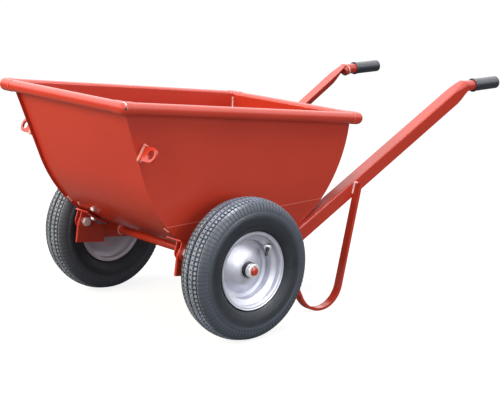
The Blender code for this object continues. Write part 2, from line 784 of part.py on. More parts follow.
def flange_cutter(bend):
    """The top flange is sawn off ahead of the bend, so that the tub can sit between the rails."""
    low = AXLE_Z - RAIL_FLANGE
    high = AXLE_Z + 3 * RAIL_FLANGE
    outline = [(2 * RAIL_FRONT_END, low), (bend, low), (bend, high), (2 * RAIL_FRONT_END, high)]
    outer = RAIL_HALF_SPACING - RAIL_THICKNESS
    inner = RAIL_HALF_SPACING - 2 * RAIL_FLANGE
    return as_cutter(plate("flange_cut", outline, inner, outer))


def axle_hole():
    """The axle goes through a round hole in each rail's upright flange."""
    outline = circle((0, AXLE_Z), AXLE_RADIUS + SEAT_GAP)
    low = RAIL_HALF_SPACING - 2 * RAIL_THICKNESS
    high = RAIL_HALF_SPACING + RAIL_THICKNESS
    return as_cutter(plate("axle_hole", outline, low, high))


def pipe_route():
    """The grip pipe lies in the rail's corner, then bends level where the rail ends."""
    down = Vector((0, math.sin(RAIL_RISE), -math.cos(RAIL_RISE))) * PIPE_OFFSET
    shift = Vector((-PIPE_OFFSET, 0, 0)) + down
    lap_y = RAIL_REAR_END - PIPE_LAP * math.cos(RAIL_RISE)
    start = Vector((rail_reach(lap_y), lap_y, rail_top(lap_y))) + shift
    corner = Vector((rail_reach(RAIL_REAR_END), RAIL_REAR_END, rail_top(RAIL_REAR_END))) + shift
    end = Vector((corner.x, GRIP_START + GRIP_LENGTH - GRIP_END_WALL - SEAT_GAP, corner.z))
    return [start, *rounded_corner(start, corner, end, PIPE_BEND_RADIUS), end]


def build_hand_grip():
    """A rubber sleeve, closed at its end."""
    outer = GRIP_DIAMETER / 2
    bore = PIPE_DIAMETER / 2 + SEAT_GAP
    flange = GRIP_FLANGE_DIAMETER / 2
    waist = GRIP_FLANGE_WIDTH + CHAMFER
    profile = [
        (GRIP_LENGTH - GRIP_END_WALL, 0),
        (GRIP_LENGTH - GRIP_END_WALL, bore),
        (0, bore),
        (0, flange - CHAMFER),
        (CHAMFER, flange),
        (GRIP_FLANGE_WIDTH, flange),
        (waist, outer),
        (GRIP_LENGTH - 2 * CHAMFER, outer),
        (GRIP_LENGTH, outer - 2 * CHAMFER),
        (GRIP_LENGTH, GRIP_NUB),
        (GRIP_LENGTH + GRIP_NUB, GRIP_NUB / 2),
        (GRIP_LENGTH + GRIP_NUB, 0),
    ]
    grip = solid_turned("hand_grip_left", profile)
    grip.rotation_euler = (0, 0, math.pi / 2)
    end = pipe_route()[-1]
    grip.location = (end.x, GRIP_START, end.z)
    return settled(grip)


def build_stand():
    """A flat bar bent into a loop, welded to the rail's outer face at both ends."""
    floor_radius = STAND_RADIUS + STAND_BAR_THICKNESS
    centre = (STAND_Y, floor_radius)
    front = math.pi + STAND_FRONT_LEAN
    rear = 2 * math.pi - STAND_REAR_LEAN
    lowest = 1.5 * math.pi
    bend = arc(centre, floor_radius, front, lowest)
    bend += arc(centre, floor_radius, lowest, rear)[1:]
    front_up = (STAND_FRONT_HEIGHT - bend[0][1]) * math.tan(STAND_FRONT_LEAN)
    rear_up = (STAND_REAR_HEIGHT - bend[-1][1]) * math.tan(STAND_REAR_LEAN)
    path = [
        (bend[0][0] - front_up, STAND_FRONT_HEIGHT),
        *bend,
        (bend[-1][0] + rear_up, STAND_REAR_HEIGHT),
    ]
    outline = thickened(path, STAND_BAR_THICKNESS)
    low = RAIL_HALF_SPACING + SEAT_GAP
    stand = plate("stand_loop_left", outline, low, low + STAND_BAR_WIDTH)
    for vertex in stand.data.vertices:
        vertex.co.x += rail_reach(vertex.co.y) - RAIL_HALF_SPACING
    return stand


def build_tie():
    """A tube across the frame, under the rails' top flanges just behind the bend."""
    z = rail_top(TIE_Y) - (RAIL_THICKNESS + SEAT_GAP + TIE_DIAMETER / 2) / math.cos(RAIL_RISE)
    reach = rail_reach(TIE_Y - TIE_DIAMETER / 2) - RAIL_THICKNESS - SEAT_GAP
    return tube("rail_tie_tube", [(-reach, TIE_Y, z), (reach, TIE_Y, z)], TIE_DIAMETER / 2)


def build_axle():
    half = TRACK / 2 + OUTER_HUB_FACE + RUNNING_GAP + COLLAR_WIDTH + AXLE_END_REACH
    profile = [
        (-half, 0),
        (-half, AXLE_RADIUS - CHAMFER),
        (CHAMFER - half, AXLE_RADIUS),
        (half - CHAMFER, AXLE_RADIUS),
        (half, AXLE_RADIUS - CHAMFER),
        (half, 0),
    ]
    axle = solid_turned("axle", profile)
    axle.location.z = AXLE_Z
    return settled(axle)


def build_axle_ring(name, start, width):
    bore = AXLE_RADIUS + SEAT_GAP
    outer = RING_DIAMETER / 2
    profile = [
        (start, bore),
        (start + width, bore),
        (start + width, outer - CHAMFER),
        (start + width - CHAMFER, outer),
        (start + CHAMFER, outer),
        (start, outer - CHAMFER),
    ]
    ring = turned(name, profile)
    ring.location.z = AXLE_Z
    return settled(ring)


def carcass(half, top, low, neck, crown_half, crown_drop):
    """Half of a tyre surface, from its neck at the bead out and up to the middle of its crown."""
    widest = (top + low) / 2
    shoulder = top - crown_drop
    lower = [(t, neck + (half - neck) * math.cos(t)) for t in FLANK_TURNS]
    upper = [(t, crown_half + (half - crown_half) * math.cos(t)) for t in SHOULDER_TURNS]
    points = [(along, widest + (widest - low) * math.sin(t)) for t, along in lower]
    points += [(along, widest + (shoulder - widest) * math.sin(t)) for t, along in upper]
    points += [(0, top)]
    return points


def both_sides(half):
    """A path from one side to the other, from its half that ends in the middle plane."""
    return half + [(-along, radius) for along, radius in half[-2::-1]]


def tyre_paths():
    """The tyre's outside and inside, from the left bead to the right one."""
    top = WHEEL_DIAMETER / 2
    heel = RIM_SEAT_WIDTH / 2 - SEAT_GAP
    seat = RIM_SEAT_RADIUS + SEAT_GAP
    over_flange = RIM_FLANGE_RADIUS + FOOT_SHARE * RIM_FLANGE_HEIGHT
    foot = [(heel, seat), (heel, RIM_FLANGE_RADIUS)]
    outside = foot + carcass(TYRE_WIDTH / 2, top, over_flange, heel, CROWN_WIDTH / 2, CROWN_DROP)
    toe = heel - BEAD_WIDTH
    inside_top = top - TREAD_THICKNESS
    inside = [(toe, seat)] + carcass(
        TYRE_WIDTH / 2 - SIDEWALL,
        inside_top,
        RIM_SEAT_RADIUS + RIM_FLANGE_HEIGHT / 2,
        toe,
        CROWN_WIDTH / 2 - SIDEWALL / 2,
        CROWN_DROP,
    )
    return both_sides(outside), both_sides(inside)


def build_tyre():
    outside, inside = tyre_paths()
    inside = [inside[0], *inside[1:-1:2], inside[-1]]
    return turned("tyre_left", outside + inside[::-1], WHEEL_STEPS)


def build_inner_tube(valve_room):
    """The inner tube fills the tyre, and the valve's foot opens it."""
    _, inside = tyre_paths()
    skin = offset_path(inside[1:-1:2], 2 * SEAT_GAP)
    floor = skin[0][1] + INNER_TUBE_WALL
    core = [(along, max(radius, floor)) for along, radius in offset_path(skin, INNER_TUBE_WALL)]
    tube_skin = turned("inner_tube_left", skin, WHEEL_STEPS)
    cut(tube_skin, as_cutter(turned("inner_tube_core", core, WHEEL_STEPS)))
    cut(tube_skin, valve_room)
    return tube_skin


def rim_path():
    """The tyre side of the rim, from the left lip over the well to the right lip."""
    seat_half = RIM_SEAT_WIDTH / 2
    well_half = RIM_WELL_WIDTH / 2
    half = [
        (seat_half + RIM_LIP, RIM_FLANGE_RADIUS - RIM_LIP / 3),
        (seat_half + RIM_LIP / 2, RIM_FLANGE_RADIUS),
        (seat_half, RIM_FLANGE_RADIUS - RIM_LIP / 2),
        (seat_half, RIM_SEAT_RADIUS),
        (well_half + RIM_WELL_SLOPE, RIM_SEAT_RADIUS),
        (well_half, RIM_WELL_RADIUS),
    ]
    return half + [(-along, radius) for along, radius in half[::-1]]


def build_rim_ring():
    path = rim_path()[::-1]
    return turned("wheel_rim_left", thickened(path, -RIM_SHEET), WHEEL_STEPS)


def build_disc():
    """The dished disc from the rim's well to the hub tube."""
    rim_side = RIM_WELL_RADIUS - RIM_SHEET - SEAT_GAP
    hub_side = HUB_RADIUS + SEAT_GAP
    span = rim_side - hub_side
    rise = DISC_CROWN_OFFSET - DISC_FOOT_OFFSET
    foot = (DISC_FOOT_OFFSET, rim_side - DISC_FOOT_SHARE * span)
    path = [(DISC_FOOT_OFFSET + RIM_SHEET, rim_side), foot]
    for share in DISC_SHARES:
        dome = (share - DISC_FOOT_SHARE) / (1 - DISC_FOOT_SHARE)
        along = DISC_FOOT_OFFSET + rise * math.sin(dome * math.pi / 2)
        path.append((along, rim_side - share * span))
    return turned("wheel_disc_left", thickened(path, RIM_SHEET), WHEEL_STEPS)


def ring_profile(start, end, inner, outer):
    return [(start, inner), (end, inner), (end, outer), (start, outer)]


def build_hub_pieces():
    """Hub tube, a roller bearing in each end of it, and a dust seal over each end."""
    pocket = HUB_RADIUS - HUB_WALL
    shaft = AXLE_RADIUS + SEAT_GAP
    barrel = ring_profile(HUB_INNER_END, HUB_OUTER_END, pocket, HUB_RADIUS)
    pieces = [turned("hub_tube_left", barrel)]
    for word, end, inward in (("outer", HUB_OUTER_END, -1), ("inner", HUB_INNER_END, 1)):
        start = end + inward * SEAL_LIP
        stop = start + inward * BEARING_LENGTH
        low, high = min(start, stop), max(start, stop)
        ring = ring_profile(low, high, shaft, pocket - SEAT_GAP)
        pieces.append(turned(f"bearing_{word}_left", ring))
        face = end - inward * SEAL_WIDTH
        seat = end - inward * SEAT_GAP
        plug = start - inward * SEAT_GAP
        seal = [
            (face, shaft),
            (face, HUB_RADIUS - CHAMFER),
            (face + inward * CHAMFER, HUB_RADIUS),
            (seat, HUB_RADIUS),
            (seat, pocket - SEAT_GAP),
            (plug, pocket - SEAT_GAP),
            (plug, shaft),
        ]
        pieces.append(turned(f"hub_seal_{word}_left", seal))
    return pieces


def valve_solid(name, radius):
    """The valve stem: from inside the tube, out through the rim's slope and towards the open side."""
    neck = VALVE_LENGTH * VALVE_NECK_SHARE
    tip = radius * VALVE_TIP_SHARE
    profile = [
        (0, 0),
        (0, radius),
        (neck, radius),
        (neck + radius, tip),
        (VALVE_LENGTH, tip),
        (VALVE_LENGTH, 0),
    ]
    stem = solid_turned(name, profile, VALVE_STEPS)
    back = Matrix.Translation((-VALVE_FOOT, 0, 0))
    lean = Matrix.Rotation(math.pi / 2 - VALVE_TILT, 4, "Y")
    seat = Matrix.Translation((VALVE_OFFSET, 0, (RIM_SEAT_RADIUS + RIM_WELL_RADIUS) / 2))
    round_axle = Matrix.Rotation(-VALVE_PLACE, 4, "X")
    stem.data.transform(round_axle @ seat @ lean @ back)
    return stem


def build_wheel():
    """All pieces of the left wheel, about the axis x = 0 and centred on its middle plane."""
    valve = valve_solid("valve_left", VALVE_DIAMETER / 2)
    room = as_cutter(valve_solid("valve_room", VALVE_DIAMETER / 2 + SEAT_GAP))
    rim = build_rim_ring()
    cut(rim, room)
    pieces = [build_tyre(), build_inner_tube(room), rim, build_disc(), *build_hub_pieces(), valve]
    return [settled(obj) for obj in pieces]


def add_empty(name, place_at, parent=None, turn=0.0):
    empty = bpy.data.objects.new(name, None)
    PARTS.objects.link(empty)
    empty.location = place_at
    empty.rotation_euler = (0, 0, turn)
    empty.parent = parent
    return empty


def attach(pieces, parent, rest_place=(0, 0, 0)):
    """Parents pieces, which were laid out from the axle, to an empty that stands elsewhere."""
    for obj in pieces:
        obj.parent = parent
        obj.matrix_parent_inverse = Matrix.Translation(-Vector(rest_place))


def build_tub():
    wrap = build_wrap()
    panel = build_side_panel()
    clear_of_elbows([wrap, panel])
    lug = build_lug()
    bracket = build_hinge_bracket()
    pieces = [wrap, panel, *build_rim(), lug, bracket, *build_pivot_bolts()]
    for obj in (panel, lug, bracket):
        pieces.append(mirrored(obj, obj.name.replace("left", "right")))
    return pieces


def build_frame():
    rail = build_rail()
    pipe = tube("grip_pipe_left", pipe_route(), PIPE_DIAMETER / 2)
    left = [rail, pipe, build_hand_grip(), build_pivot_plate(), build_stand()]
    pieces = [build_axle(), build_tie(), *left]
    hub_inner = TRACK / 2 + INNER_HUB_FACE - RUNNING_GAP
    hub_outer = TRACK / 2 + OUTER_HUB_FACE + RUNNING_GAP
    shoulder = build_axle_ring("axle_shoulder_left", hub_inner - SHOULDER_WIDTH, SHOULDER_WIDTH)
    collar = build_axle_ring("set_collar_left", hub_outer, COLLAR_WIDTH)
    left += [shoulder, collar]
    pieces += [shoulder, collar]
    for obj in left:
        pieces.append(mirrored(obj, obj.name.replace("left", "right")))
    return pieces


def give_finishes(pieces):
    """Sets each piece's material from what it is made of. What isn't listed is painted."""
    for obj in pieces:
        found = [finish for word, finish in FINISH_OF.items() if obj.name.startswith(word)]
        finish = found[0] if found else "red_paint"
        obj.data.materials.clear()
        obj.data.materials.append(MATERIALS[finish])


def build_cart():
    """The whole cart, with an empty on each joint's axis."""
    tub = build_tub()
    frame = build_frame()
    wheel = build_wheel()
    give_finishes([*tub, *frame, *wheel])
    front_reach = rim_corner(True).y - ELBOW_DIAMETER / 2
    rear_reach = GRIP_START + GRIP_LENGTH + GRIP_NUB
    root = add_empty("cart", (0, -(front_reach + rear_reach) / 2, 0))
    pivot = (0, PIVOT_Y, PIVOT_Z)
    attach(frame, root)
    attach(list(CUTTERS.objects), root)
    attach(tub, add_empty("tub_pivot", pivot, root), pivot)
    wheel_place = Vector((TRACK / 2, 0, AXLE_Z))
    left_axis = add_empty("wheel_axis_left", wheel_place, root)
    wheel_place.x = -wheel_place.x
    right_axis = add_empty("wheel_axis_right", wheel_place, root, math.pi)
    attach(wheel, left_axis)
    for obj in wheel:
        other = bpy.data.objects.new(obj.name.replace("left", "right"), obj.data)
        PARTS.objects.link(other)
        attach([other], right_axis)


clear_scene()
PARTS = make_collection("tipping_garden_cart")
CUTTERS = make_collection("cutters")
MATERIALS = {name: make_material(name) for name in FINISHES}
build_cart()
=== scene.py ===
from math import asin, atan2, ceil, cos, pi, radians, sin, sqrt, tan

import bmesh
import bpy
from mathutils import Matrix, Vector


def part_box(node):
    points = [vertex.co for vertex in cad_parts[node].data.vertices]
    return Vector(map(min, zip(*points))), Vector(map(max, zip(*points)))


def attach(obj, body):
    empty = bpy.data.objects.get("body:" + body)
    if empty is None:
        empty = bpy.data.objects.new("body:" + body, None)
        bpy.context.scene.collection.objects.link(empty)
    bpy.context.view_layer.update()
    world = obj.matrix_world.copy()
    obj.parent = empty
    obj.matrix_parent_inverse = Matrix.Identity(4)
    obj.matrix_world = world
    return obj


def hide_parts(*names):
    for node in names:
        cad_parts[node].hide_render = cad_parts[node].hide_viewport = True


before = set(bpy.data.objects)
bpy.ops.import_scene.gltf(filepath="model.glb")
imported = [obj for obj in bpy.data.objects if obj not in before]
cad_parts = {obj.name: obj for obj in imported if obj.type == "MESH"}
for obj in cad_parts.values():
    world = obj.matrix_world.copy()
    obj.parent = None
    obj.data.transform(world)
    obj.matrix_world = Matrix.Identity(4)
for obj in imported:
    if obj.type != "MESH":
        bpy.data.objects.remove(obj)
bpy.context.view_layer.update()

# Sizes of the cart, in metres, laid out from the wheel axle
GAP = 0.0003
WHEEL_DIAMETER = 0.400
TYRE_WIDTH = 0.100
TRACK = 0.678
CROWN_WIDTH = 0.062
CROWN_DROP = 0.006
RIM_SEAT_DIAMETER = 0.203
RIM_FLANGE_HEIGHT = 0.0095
RIM_SEAT_WIDTH = 0.067
RIM_LIP = 0.005
RIM_WELL_WIDTH = 0.026
RIM_WELL_DEPTH = 0.016
RIM_SHEET = 0.0025
DISC_FOOT_OFFSET = -0.010
DISC_CROWN_OFFSET = 0.012
HUB_DIAMETER = 0.044
HUB_WALL = 0.0045
HUB_OUTER_END = 0.013
HUB_INNER_END = -0.037
SEAL_WIDTH = 0.012
SEAL_LIP = 0.003
RUNNING_GAP = 0.0010
VALVE_DIAMETER = 0.0115
VALVE_LENGTH = 0.063
VALVE_FOOT = 0.023
VALVE_OFFSET = 0.0155
VALVE_TILT = radians(32)
VALVE_TURN = radians(51)
AXLE_DIAMETER = 0.025
AXLE_END_REACH = 0.0055
RING_DIAMETER = 0.040
COLLAR_WIDTH = 0.016
SHOULDER_WIDTH = 0.019
SHEET = 0.002
TUB_RADIUS = 0.382
TUB_BACK = 0.085
FRONT_LEAN = radians(18.8)
RIM_FRONT_HEIGHT = 0.676
RIM_REAR_HEIGHT = 0.5615
CREASE_HEIGHT = 0.330
TUB_HALF_WIDTH = 0.2505
SIDE_LEAN = radians(3.6)
SIDE_TUCK = radians(8.0)
SIDE_LIP_BELOW = 0.004
SIDE_LIP_ENDS = 0.012
RIM_TUBE_DIAMETER = 0.0337
ELBOW_DIAMETER = 0.0365
ELBOW_END_ARM = 0.037
ELBOW_SIDE_ARM = 0.022
SHEET_OVER_TUBE = 0.010
LUG_THICKNESS = 0.006
LUG_REACH = 0.065
LUG_HEIGHT = 0.042
LUG_HOLE = 0.025
LUG_BACK_LEAN = radians(28)
LUG_Y = -0.288
LUG_HEIGHT_ABOVE_GROUND = 0.548
PIVOT_Y = -0.140
PIVOT_DROP = 0.022
BOLT_DIAMETER = 0.016
BOLT_HEAD_FLATS = 0.024
BOLT_HEAD_HEIGHT = 0.010
BOLT_CLEARANCE = 0.0005
NUT_HEIGHT = 0.013
BOLT_TAIL = 0.004
EAR_THICKNESS = 0.004
EAR_RADIUS = 0.0225
EAR_SPACE_INNER = 0.0030
EAR_SPACE_OUTER = 0.0012
SADDLE_THICKNESS = 0.004
SADDLE_HALF_LENGTH = 0.036
SADDLE_INBOARD = 0.040
PLATE_THICKNESS = 0.008
PLATE_EYE_RADIUS = 0.0165
PLATE_FRONT_REACH = 0.020
PLATE_DEPTH = 0.065
PLATE_LENGTH = 0.098
PLATE_BACK_HEIGHT = 0.042
REST_TILT = radians(8)
RAIL_FLANGE = 0.040
RAIL_THICKNESS = 0.004
RAIL_CORNER = 0.005
RAIL_RISE = radians(29)
RAIL_OVER_AXLE = 0.0185
RAIL_HALF_SPACING = 0.252
RAIL_TOE_OUT = radians(2.76)
RAIL_FRONT_END = -0.105
RAIL_REAR_END = 0.950
RAIL_FORMED_LENGTH = 0.070
FORMED_CORNER = 0.016
FORMED_SIDE = 0.029
FORMED_TOP = 0.025
PIPE_DIAMETER = 0.0337
PIPE_LAP = 0.016
PIPE_BEND_RADIUS = 0.034
GRIP_START = 0.9955
GRIP_LENGTH = 0.111
GRIP_DIAMETER = 0.039
GRIP_FLANGE_DIAMETER = 0.043
GRIP_FLANGE_WIDTH = 0.005
GRIP_END_WALL = 0.005
GRIP_NUB = 0.006
STAND_BAR_WIDTH = 0.025
STAND_BAR_THICKNESS = 0.008
STAND_RADIUS = 0.075
STAND_Y = 0.339
STAND_REAR_LEAN = radians(14)
STAND_FRONT_LEAN = radians(26)
STAND_REAR_HEIGHT = 0.362
STAND_FRONT_HEIGHT = 0.198
TIE_DIAMETER = 0.0269
TIE_Y = 0.225

# Sizes that only the finished surfaces have
ROUND_STEPS = 96
TUBE_SIDES = 28
FINE_ARC = radians(2)
COARSE_ARC = radians(6)
SHARP_ANGLE = radians(38)
FILLET_SHARE = 0.45
EDGE_ROUNDING = 0.0007
PANEL_BEND = 0.0012
ELBOW_ROUNDING = 0.0011
EAR_FOOT = 0.8
EAR_SWEEP = 0.45 * pi
BOLT_CHAMFER = 0.0015
BOLT_HEAD_CROWN = 0.0018
BOLT_HEAD_FACES = (0.82, 0.8)
GRIP_FLANGE_SLOPE = 0.0015
GRIP_ROUNDING = 0.0032
RAIL_CORNER_ARC = radians(9)
# The pivot plate's eye: (start, end, step)
PLATE_EYE_ARC = (radians(50), radians(160), radians(5))
# The axle's end from its face inwards: (distance, share of the radius)
AXLE_END = ((0, 0), (0, 0.45), (0.0016, 0.85), (0.0045, 1))
AXLE_ROUNDING = 0.004
RING_CHAMFER = 0.0015
RIM_WELL_SLOPE = 0.35
RIM_ROUNDING = 0.0035
DISC_FOOT_SHARE = 0.2
DISC_STEPS = 20
SEAL_CHAMFER = 0.001
SEAL_ROUNDING = 0.0018
VALVE_NECK_PLACE = 0.75
VALVE_WAIST = 0.8
VALVE_TIP = 0.72
VALVE_STEP = 0.001
VALVE_NUT_PLACE = 0.010
VALVE_NUT_END = 0.0055
VALVE_NUT_WALL = 0.0024
VALVE_RING_WIDTH = 0.0015
VALVE_RING_WALL = 0.0045
TYRE_TOE_WIDTH = 0.011
TYRE_INSIDE = ((TYRE_WIDTH / 2 - 0.006, 0.155), (CROWN_WIDTH / 2, 0.183), (0, 0.187))
TYRE_INSIDE_ROUNDING = 0.02
# Radii between which a wheel's rubber gets its painted sheen
SHOULDER_SHEEN_BAND = (0.148, 0.194)
INNER_FADE = 0.014
OUTER_FADE = 0.002
FLANK_FOOT = 0.2
FLANK_START = -1.4
FLANK_STEP = 0.02
# Fine rings on the flank: (angle, lift)
FLANK_RINGS = (
    (-1.12, 0.0006), (-1.0, 0.0005), (-0.88, 0.0006), (-0.5, 0.0004), (0.04, 0.0006), (0.14, 0.0005),
)
BED_STEPS = 24
CROWN_STEPS = 8
BLOCK_COUNT = 96
# Chains of the tread: (distance from the middle, way they bow)
CHAIN_ROWS = ((0.0056, 1), (0.0158, -1))
CHAIN_BOW = 0.0030
CHAIN_HALF_WIDTH = 0.0021
CHAIN_STATIONS = (-0.41, -0.22, 0.0, 0.22, 0.41)
SIDE_BLOCK_PLACE = 0.0255
# Corners of the side block: (from its middle, share of the pitch)
SIDE_BLOCK = ((-0.0030, -0.36), (0.0034, -0.28), (0.0034, 0.20), (-0.0030, 0.28))
BLOCK_FOOT = 0.001
RIB_START = 0.25
RIB_END = 1.42
RIB_STEPS = 6
RIB_SHARE = 0.38
RIB_TAPER = 0.7
TREAD_DEPTH = 0.0048
RIB_DEPTH = 0.0012
RIPPLE_PITCH = 0.0026
RIPPLE_LEAST = (0.78, 0.9, 0.7)
RIPPLE_MOST = (1.1, 1.15, 1.05)
TUB_WELD_SEED = 3
FRAME_WELD_SEED = 5
FORMED_STEPS = 22
SEAM_HEIGHT = 0.007
SEAM_OUTSET = 0.0016
SEAM_RADIUS = 0.0023
CORNER_BEAD = 0.0030
SCREW_SIZE = 0.0058
SCREW_HEAD = 0.0055
WASHER_THICKNESS = 0.0014
WASHER_RADII = (1.5 * SCREW_SIZE, 1.45 * SCREW_SIZE)
# Screws by the right bracket: (place along X, angle, radius)
BRACKET_SCREWS = (
    (-0.1546, radians(227.4), 0.3705),
    (-0.1973, radians(234.6), 0.3830),
)
STITCH_RISE = 0.0008
STITCH_BEAD = 0.0025
LUG_BEAD = 0.0050
LIP_STITCH = radians(1.4)
LIP_STITCHES = (radians(223.2), radians(310))
# The stitch by the saddle: (start, end), and across it (start, length)
SADDLE_STITCH = (radians(224.9), radians(226.6))
SADDLE_STITCH_ACROSS = (0.2119, 0.0064)
VENT_PLACE = (0.3080, -0.3657, 0.6776)
VENT_FACING = (0.92, -0.36, 0.16)
VENT_RADIUS = 0.0031
VENT_SPAN = (-0.004, 0.0008)
BEAD_STANDOFF = 0.0012
STAND_WELD = 0.032
STAND_BEAD = 0.0030
STAND_BEAD_OUT = 0.0014
AXLE_BEAD_OUT = 0.001
PIPE_BEAD = 0.0022

# The floor, and the camera as the cart's own points in the photograph place it
FLOOR_HALF_SIZE = 14.0
FLOOR_GLOW = 1.16
FLOOR_GLOW_SHARE = 0.74
CAMERA_LENS = 103.67
CAMERA_PLACE = (3.27999, -2.45098, 1.25465)
CAMERA_FACING = (-0.74704, 0.62749, -0.21952)

# Places that follow
AXLE_Z = WHEEL_DIAMETER / 2
AXLE_RADIUS = AXLE_DIAMETER / 2
TUB_CENTRE_Z = AXLE_Z + sqrt((TUB_RADIUS + AXLE_RADIUS + GAP) ** 2 - TUB_BACK**2)
TUB_CENTRE = (TUB_BACK, TUB_CENTRE_Z)
PANEL_ARC = (TUB_RADIUS, TUB_CENTRE_Z)
WRAP_ARC = (TUB_RADIUS - SIDE_LIP_ENDS, TUB_CENTRE_Z - (SIDE_LIP_ENDS - SIDE_LIP_BELOW))
RIM_RADIUS = RIM_TUBE_DIAMETER / 2
RIM_OUTSET = ELBOW_DIAMETER / 2 + 2 * GAP
PIVOT_Z = TUB_CENTRE_Z - sqrt((TUB_RADIUS + PIVOT_DROP) ** 2 - (PIVOT_Y - TUB_BACK) ** 2)
PIVOT = (PIVOT_Y, PIVOT_Z)
RIM_SEAT_RADIUS = RIM_SEAT_DIAMETER / 2
RIM_WELL_RADIUS = RIM_SEAT_RADIUS - RIM_WELL_DEPTH
RIM_FLANGE_RADIUS = RIM_SEAT_RADIUS + RIM_FLANGE_HEIGHT
HUB_RADIUS = HUB_DIAMETER / 2
HUB_BORE = HUB_RADIUS - HUB_WALL
TYRE_HEEL = RIM_SEAT_WIDTH / 2 - GAP
PIPE_OFFSET = RAIL_THICKNESS + GAP + PIPE_DIAMETER / 2
OUTER_HUB_FACE = HUB_OUTER_END + SEAL_WIDTH
INNER_HUB_FACE = HUB_INNER_END - SEAL_WIDTH
AXLE_LOW, AXLE_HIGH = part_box("axle")
TO_ROW = Matrix.Translation((0, (AXLE_LOW.y + AXLE_HIGH.y) / 2, 0))
LEFT_WHEEL = Matrix.Translation((TRACK / 2, 0, AXLE_Z))
RIGHT_WHEEL = Matrix.Translation((-TRACK / 2, 0, AXLE_Z)) @ Matrix.Rotation(pi, 4, "Z")
TO_RIGHT = Matrix.Scale(-1, 4, (1, 0, 0))
TO_AXLE = Matrix.Translation((0, 0, AXLE_Z))
TO_PIVOT = Matrix.Translation((0, PIVOT_Y, PIVOT_Z))


# Shader groups

def titled(label):
    return label.replace("_", " ").title()


def add_nodes(tree, *kinds):
    return [tree.nodes.new(kind) for kind in kinds]


def wire(tree, *links):
    """Links nodes. Each link is (node, its output, node, its input)."""
    for source, output, target, socket in links:
        tree.links.new(source.outputs[output], target.inputs[socket])


def feed(tree, socket, source):
    """Sets a socket to a value, or links it to another node's output."""
    if isinstance(source, bpy.types.NodeSocket):
        tree.links.new(source, socket)
    else:
        socket.default_value = source


def maths(tree, operation, *sources):
    node = tree.nodes.new("ShaderNodeMath")
    node.operation = operation
    for socket, source in zip(node.inputs, sources):
        feed(tree, socket, source)
    return node.outputs[0]


def shader_group(name, output, **inputs):
    """A shader node group: its tree, what its named inputs give, and its output's socket."""
    tree = bpy.data.node_groups.new(name, "ShaderNodeTree")
    for label, value in inputs.items():
        kind = "NodeSocketFloat" if isinstance(value, float) else "NodeSocketColor"
        socket = tree.interface.new_socket(name=titled(label), in_out="INPUT", socket_type=kind)
        socket.default_value = value
    kind = "NodeSocketColor" if output == "Colour" else "NodeSocketFloat"
    tree.interface.new_socket(name=output, in_out="OUTPUT", socket_type=kind)
    start, end = add_nodes(tree, "NodeGroupInput", "NodeGroupOutput")
    return tree, start.outputs, end.inputs[output]


def object_noise(tree, scale, detail):
    """Noise on object coordinates. The scale is a number or another node's output."""
    place, noise = add_nodes(tree, "ShaderNodeTexCoord", "ShaderNodeTexNoise")
    noise.inputs["Detail"].default_value = detail
    wire(tree, (place, "Object", noise, "Vector"))
    feed(tree, noise.inputs["Scale"], scale)
    return noise.outputs["Fac"]


def ramped(tree, value, low, high, to_low=0.0, to_high=1.0):
    """A value spread from one range to another, and kept inside it."""
    node = tree.nodes.new("ShaderNodeMapRange")
    labels = ("Value", "From Min", "From Max", "To Min", "To Max")
    for label, source in zip(labels, (value, low, high, to_low, to_high)):
        feed(tree, node.inputs[label], source)
    return node.outputs["Result"]


def mixed(tree, share, first, second):
    """Two colours mixed by a share. Each is a colour or another node's output."""
    node = tree.nodes.new("ShaderNodeMix")
    node.data_type = "RGBA"
    for label, source in (("Factor", share), ("A", first), ("B", second)):
        feed(tree, [s for s in node.inputs if s.name == label and s.enabled][0], source)
    return [s for s in node.outputs if s.enabled][0]


def make_tone_group():
    """Two tones of one colour, drifting into each other over the piece."""
    white = (1, 1, 1, 1)
    inputs = {"tone": white, "second_tone": white, "scale": 4.0}
    tree, given, end = shader_group("drifting tone", "Colour", **inputs)
    share = ramped(tree, object_noise(tree, given["Scale"], 4.0), 0.35, 0.65)
    feed(tree, end, mixed(tree, share, given["Tone"], given["Second Tone"]))
    return tree


def make_speck_group():
    """A mask of small specks, such as chips, dust or bare spots."""
    tree, given, end = shader_group("specks", "Mask", scale=60.0, share=0.1)
    broad = ramped(tree, object_noise(tree, 7.0, 2.0), 0.3, 0.7, 0.85, 1.1)
    threshold = ramped(tree, given["Share"], 0.0, 1.0, 0.72, 0.42)
    both = maths(tree, "MULTIPLY", object_noise(tree, given["Scale"], 6.0), broad)
    feed(tree, end, ramped(tree, maths(tree, "SUBTRACT", both, threshold), 0.0, 0.03))
    return tree


def make_grain_group():
    """A fine grain that moves between a low and a high value."""
    tree, given, end = shader_group("grain", "Value", scale=300.0, low=0.0, high=1.0)
    noise = object_noise(tree, given["Scale"], 2.0)
    feed(tree, end, ramped(tree, noise, 0.3, 0.7, given["Low"], given["High"]))
    return tree


def make_band_group():
    """A mask between two radii round the wheels' axle, soft at its inner edge."""
    tree, given, end = shader_group("band round the axle", "Mask", inner=0.15, outer=0.19)
    place, shift, level, size = add_nodes(
        tree, "ShaderNodeTexCoord", "ShaderNodeMapping", "ShaderNodeVectorMath", "ShaderNodeVectorMath"
    )
    shift.inputs["Location"].default_value = (0, -TO_ROW.translation.y, -AXLE_Z)
    level.operation = "MULTIPLY"
    level.inputs[1].default_value = (0, 1, 1)
    size.operation = "LENGTH"
    wire(tree, (place, "Object", shift, "Vector"), (shift, 0, level, 0), (level, 0, size, 0))
    radius = size.outputs["Value"]
    rising = ramped(tree, maths(tree, "SUBTRACT", radius, given["Inner"]), 0.0, INNER_FADE)
    falling = ramped(tree, maths(tree, "SUBTRACT", given["Outer"], radius), 0.0, OUTER_FADE)
    feed(tree, end, maths(tree, "MULTIPLY", rising, falling))
    return tree


